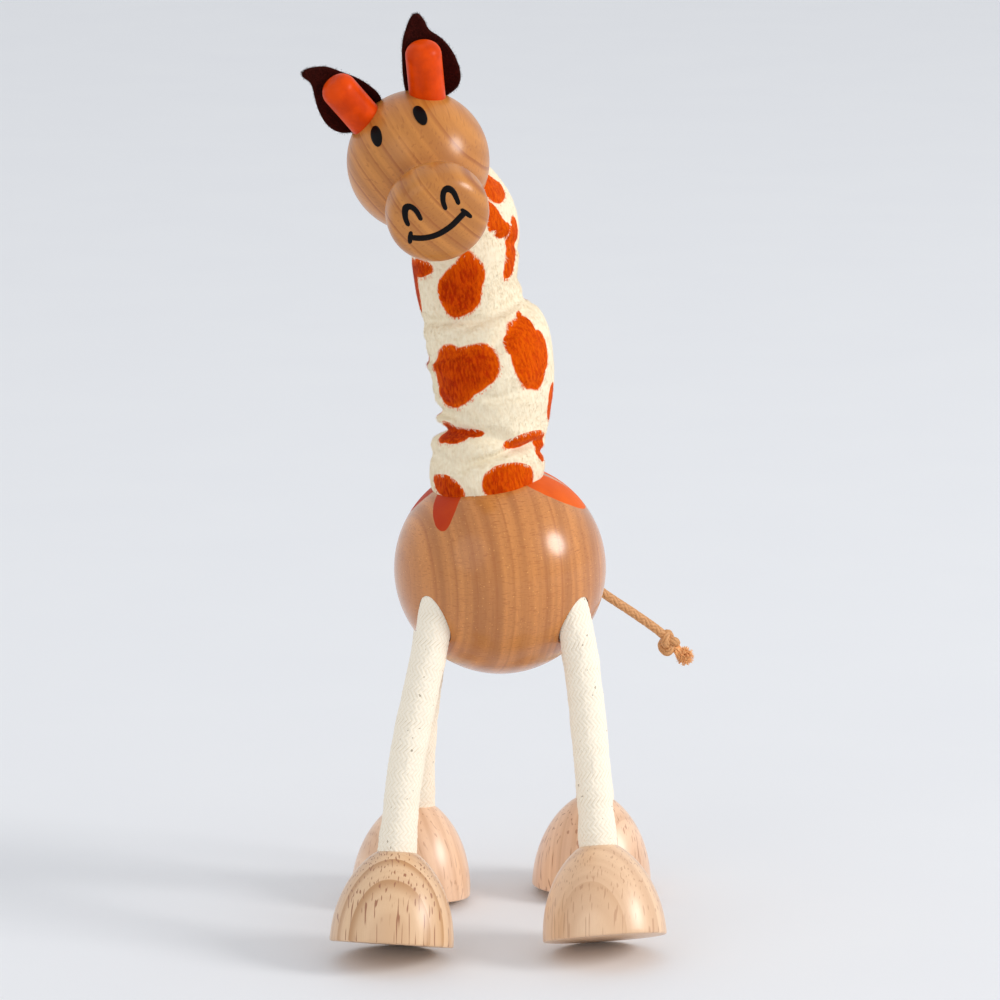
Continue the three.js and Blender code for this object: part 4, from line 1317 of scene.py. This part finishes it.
class GIRAFFE_OT_neck(bpy.types.Operator):
    """Add the plush neck in three lengths, each with its pile"""

    bl_idname = "giraffe.neck"
    bl_label = "Neck"

    # Each length: its name, its ends up the neck, the bodies and the pivot between them, its solids.
    LENGTHS = [
        ("low", 90.8, 120.5, "torso", "neck_lower", "neck_low_nod",
         ["neck_sleeve_base", "neck_sleeve_lower", "neck_foam_lower"]),
        ("middle", 120.5, 142.4, "neck_lower", "neck_upper", "neck_middle_lean",
         ["neck_sleeve_upper", "neck_foam_upper"]),
        ("top", 142.4, 160.6, "neck_upper", "head", "head_nod", ["neck_sleeve_tip"]),
    ]

    def execute(self, context):
        plush = plush_finish()
        for number, (word, low, high, below, above, pivot, stands_for) in enumerate(self.LENGTHS):

            def wrap(turn, share, low=low, high=high):
                height = low + (high - low) * share
                radius = plush_radius(turn, height)
                points = NECK.wrap(turn, neck_distance(height), radius)
                depth = plush_spot(turn, height)
                spot = smooth(depth, -0.16, 0.16)
                # The sleeve under the pile has a tone of 0.75: painted shade under the fibres.
                heart, tone = spot_heart(turn, depth), np.full_like(spot, 0.75)
                return points, {"spot": spot, "heart": heart, "tone": tone}

            rows = int((high - low) * 6)
            sleeve = skin(f"neck_plush_{word}", 200, rows, wrap, plush, stands_for)
            count = int((high - low) * PILE_COUNT)
            fibres = pile(f"neck_pile_{word}", low, high, count, 40 + number, plush)
            at = NECK.nearest((PIVOTS[pivot] - SHIFT) / MM)
            bend((sleeve, fibres), NECK, at, PLUSH_REACH, below, above)
        return {"FINISHED"}


class GIRAFFE_OT_legs(bpy.types.Operator):
    """Add the braided leg ropes, each in three lengths"""

    bl_idname = "giraffe.legs"
    bl_label = "Legs"

    def execute(self, context):
        finish = rope_finish("cotton_braid", colours().rope, 0.91)
        radius = sizes().rope / MM
        for leg, facts in LEGS.items():
            sole, axis = hoof_stance(leg)
            hip, knee, socket = (Vector(facts[key]) for key in ("hip", "knee", "socket"))
            ankle = sole + axis * ANKLE_HEIGHT
            inside = socket + (socket - hip).normalized() * ROPE_IN_BODY
            foot = sole + axis * (sizes().hoof_height / MM - ROPE_IN_HOOF)
            guide = Guide([inside, socket, hip, knee, ankle, foot], (1, 0, 0))
            marks = [guide.nearest(p) for p in (hip, knee, ankle)]
            cuts = [0, (marks[0] + marks[1]) / 2, (marks[1] + marks[2]) / 2, guide.distance[-1]]
            bodies = ["torso", f"{leg}_upper_leg", f"{leg}_lower_leg", f"{leg}_foot"]
            for i, (word, node) in enumerate((("hip", "root"), ("knee", "upper"), ("ankle", "lower"))):

                def wrap(turn, share, low=cuts[i], high=cuts[i + 1], last=marks[2]):
                    at = low + (high - low) * share
                    weave = braid(turn, at, *ROPE_BRAID)
                    flare = 0.35 * smooth(at, last - 5, last - 0.5)
                    lump = 0.06 * rough(turn * 4, at * 0.9, turn * 0, 0.9, 3)
                    fuzz = 0.05 * rough(turn * 4, at, turn * 0, 3.5, 4)
                    out = radius - 0.12 + 0.09 * weave + flare + lump + fuzz
                    return guide.wrap(turn, at, out), {"weave": weave}

                rows = int((cuts[i + 1] - cuts[i]) / 0.2)
                name = f"{leg}_rope_{word}"
                piece = skin(name, 144, rows, wrap, finish, [f"{leg}_rope_{node}"])
                bend([piece], guide, marks[i], ROPE_REACH, bodies[i], bodies[i + 1])
        return {"FINISHED"}


class GIRAFFE_OT_hooves(bpy.types.Operator):
    """Add the turned hooves"""

    bl_idname = "giraffe.hooves"
    bl_label = "Hooves"

    def execute(self, context):
        profile = hoof_profile(sizes().hoof / MM, sizes().hoof_height / MM)
        for leg in LEGS:
            sole, axis = hoof_stance(leg)
            mesh = turned(profile, Matrix.Translation(place(sole)) @ upright_to(axis), 128)
            hoof = finished(f"{leg}_hoof_visual", mesh, hoof_finish(leg), [f"{leg}_hoof"])
            sharpen(hoof.data, 50)
            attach(hoof, f"{leg}_foot")
        return {"FINISHED"}


class GIRAFFE_OT_inside(bpy.types.Operator):
    """Finish the wires and cores inside, which keep their own solids"""

    bl_idname = "giraffe.inside"
    bl_label = "Inside"

    def execute(self, context):
        finishes = hidden_finishes()
        for name, node in frame["nodes"].items():
            for word, material in finishes.items():
                if word in name:
                    for slot in node.material_slots:
                        slot.material = material
                    break
        return {"FINISHED"}


class GIRAFFE_PT_panel(bpy.types.Panel):
    """The giraffe's pieces, sizes and colours"""

    bl_idname = "GIRAFFE_PT_panel"
    bl_label = "Giraffe"
    bl_space_type = "VIEW_3D"
    bl_region_type = "UI"
    bl_category = "Giraffe"

    def draw(self, context):
        for operator in OPERATORS:
            self.layout.operator(operator.bl_idname)
        for group in (context.scene.giraffe_sizes, context.scene.giraffe_colours):
            box = self.layout.box()
            for name in group.bl_rna.properties.keys():
                if name not in ("rna_type", "name"):
                    box.prop(group, name)


OPERATORS = [
    GIRAFFE_OT_stage, GIRAFFE_OT_tail, GIRAFFE_OT_body, GIRAFFE_OT_head, GIRAFFE_OT_ears, GIRAFFE_OT_neck,
    GIRAFFE_OT_legs, GIRAFFE_OT_hooves, GIRAFFE_OT_inside,
]
CLASSES = [GiraffeSizes, GiraffeColours, *OPERATORS, GIRAFFE_PT_panel]


def register():
    for cls in CLASSES:
        bpy.utils.register_class(cls)
    bpy.types.Scene.giraffe_sizes = bpy.props.PointerProperty(type=GiraffeSizes)
    bpy.types.Scene.giraffe_colours = bpy.props.PointerProperty(type=GiraffeColours)


def unregister():
    del bpy.types.Scene.giraffe_colours
    del bpy.types.Scene.giraffe_sizes
    for cls in reversed(CLASSES):
        bpy.utils.unregister_class(cls)


def main():
    register()
    for operator in OPERATORS:
        group, name = operator.bl_idname.split(".")
        getattr(getattr(bpy.ops, group), name)()


if __name__ == "__main__":
    main()
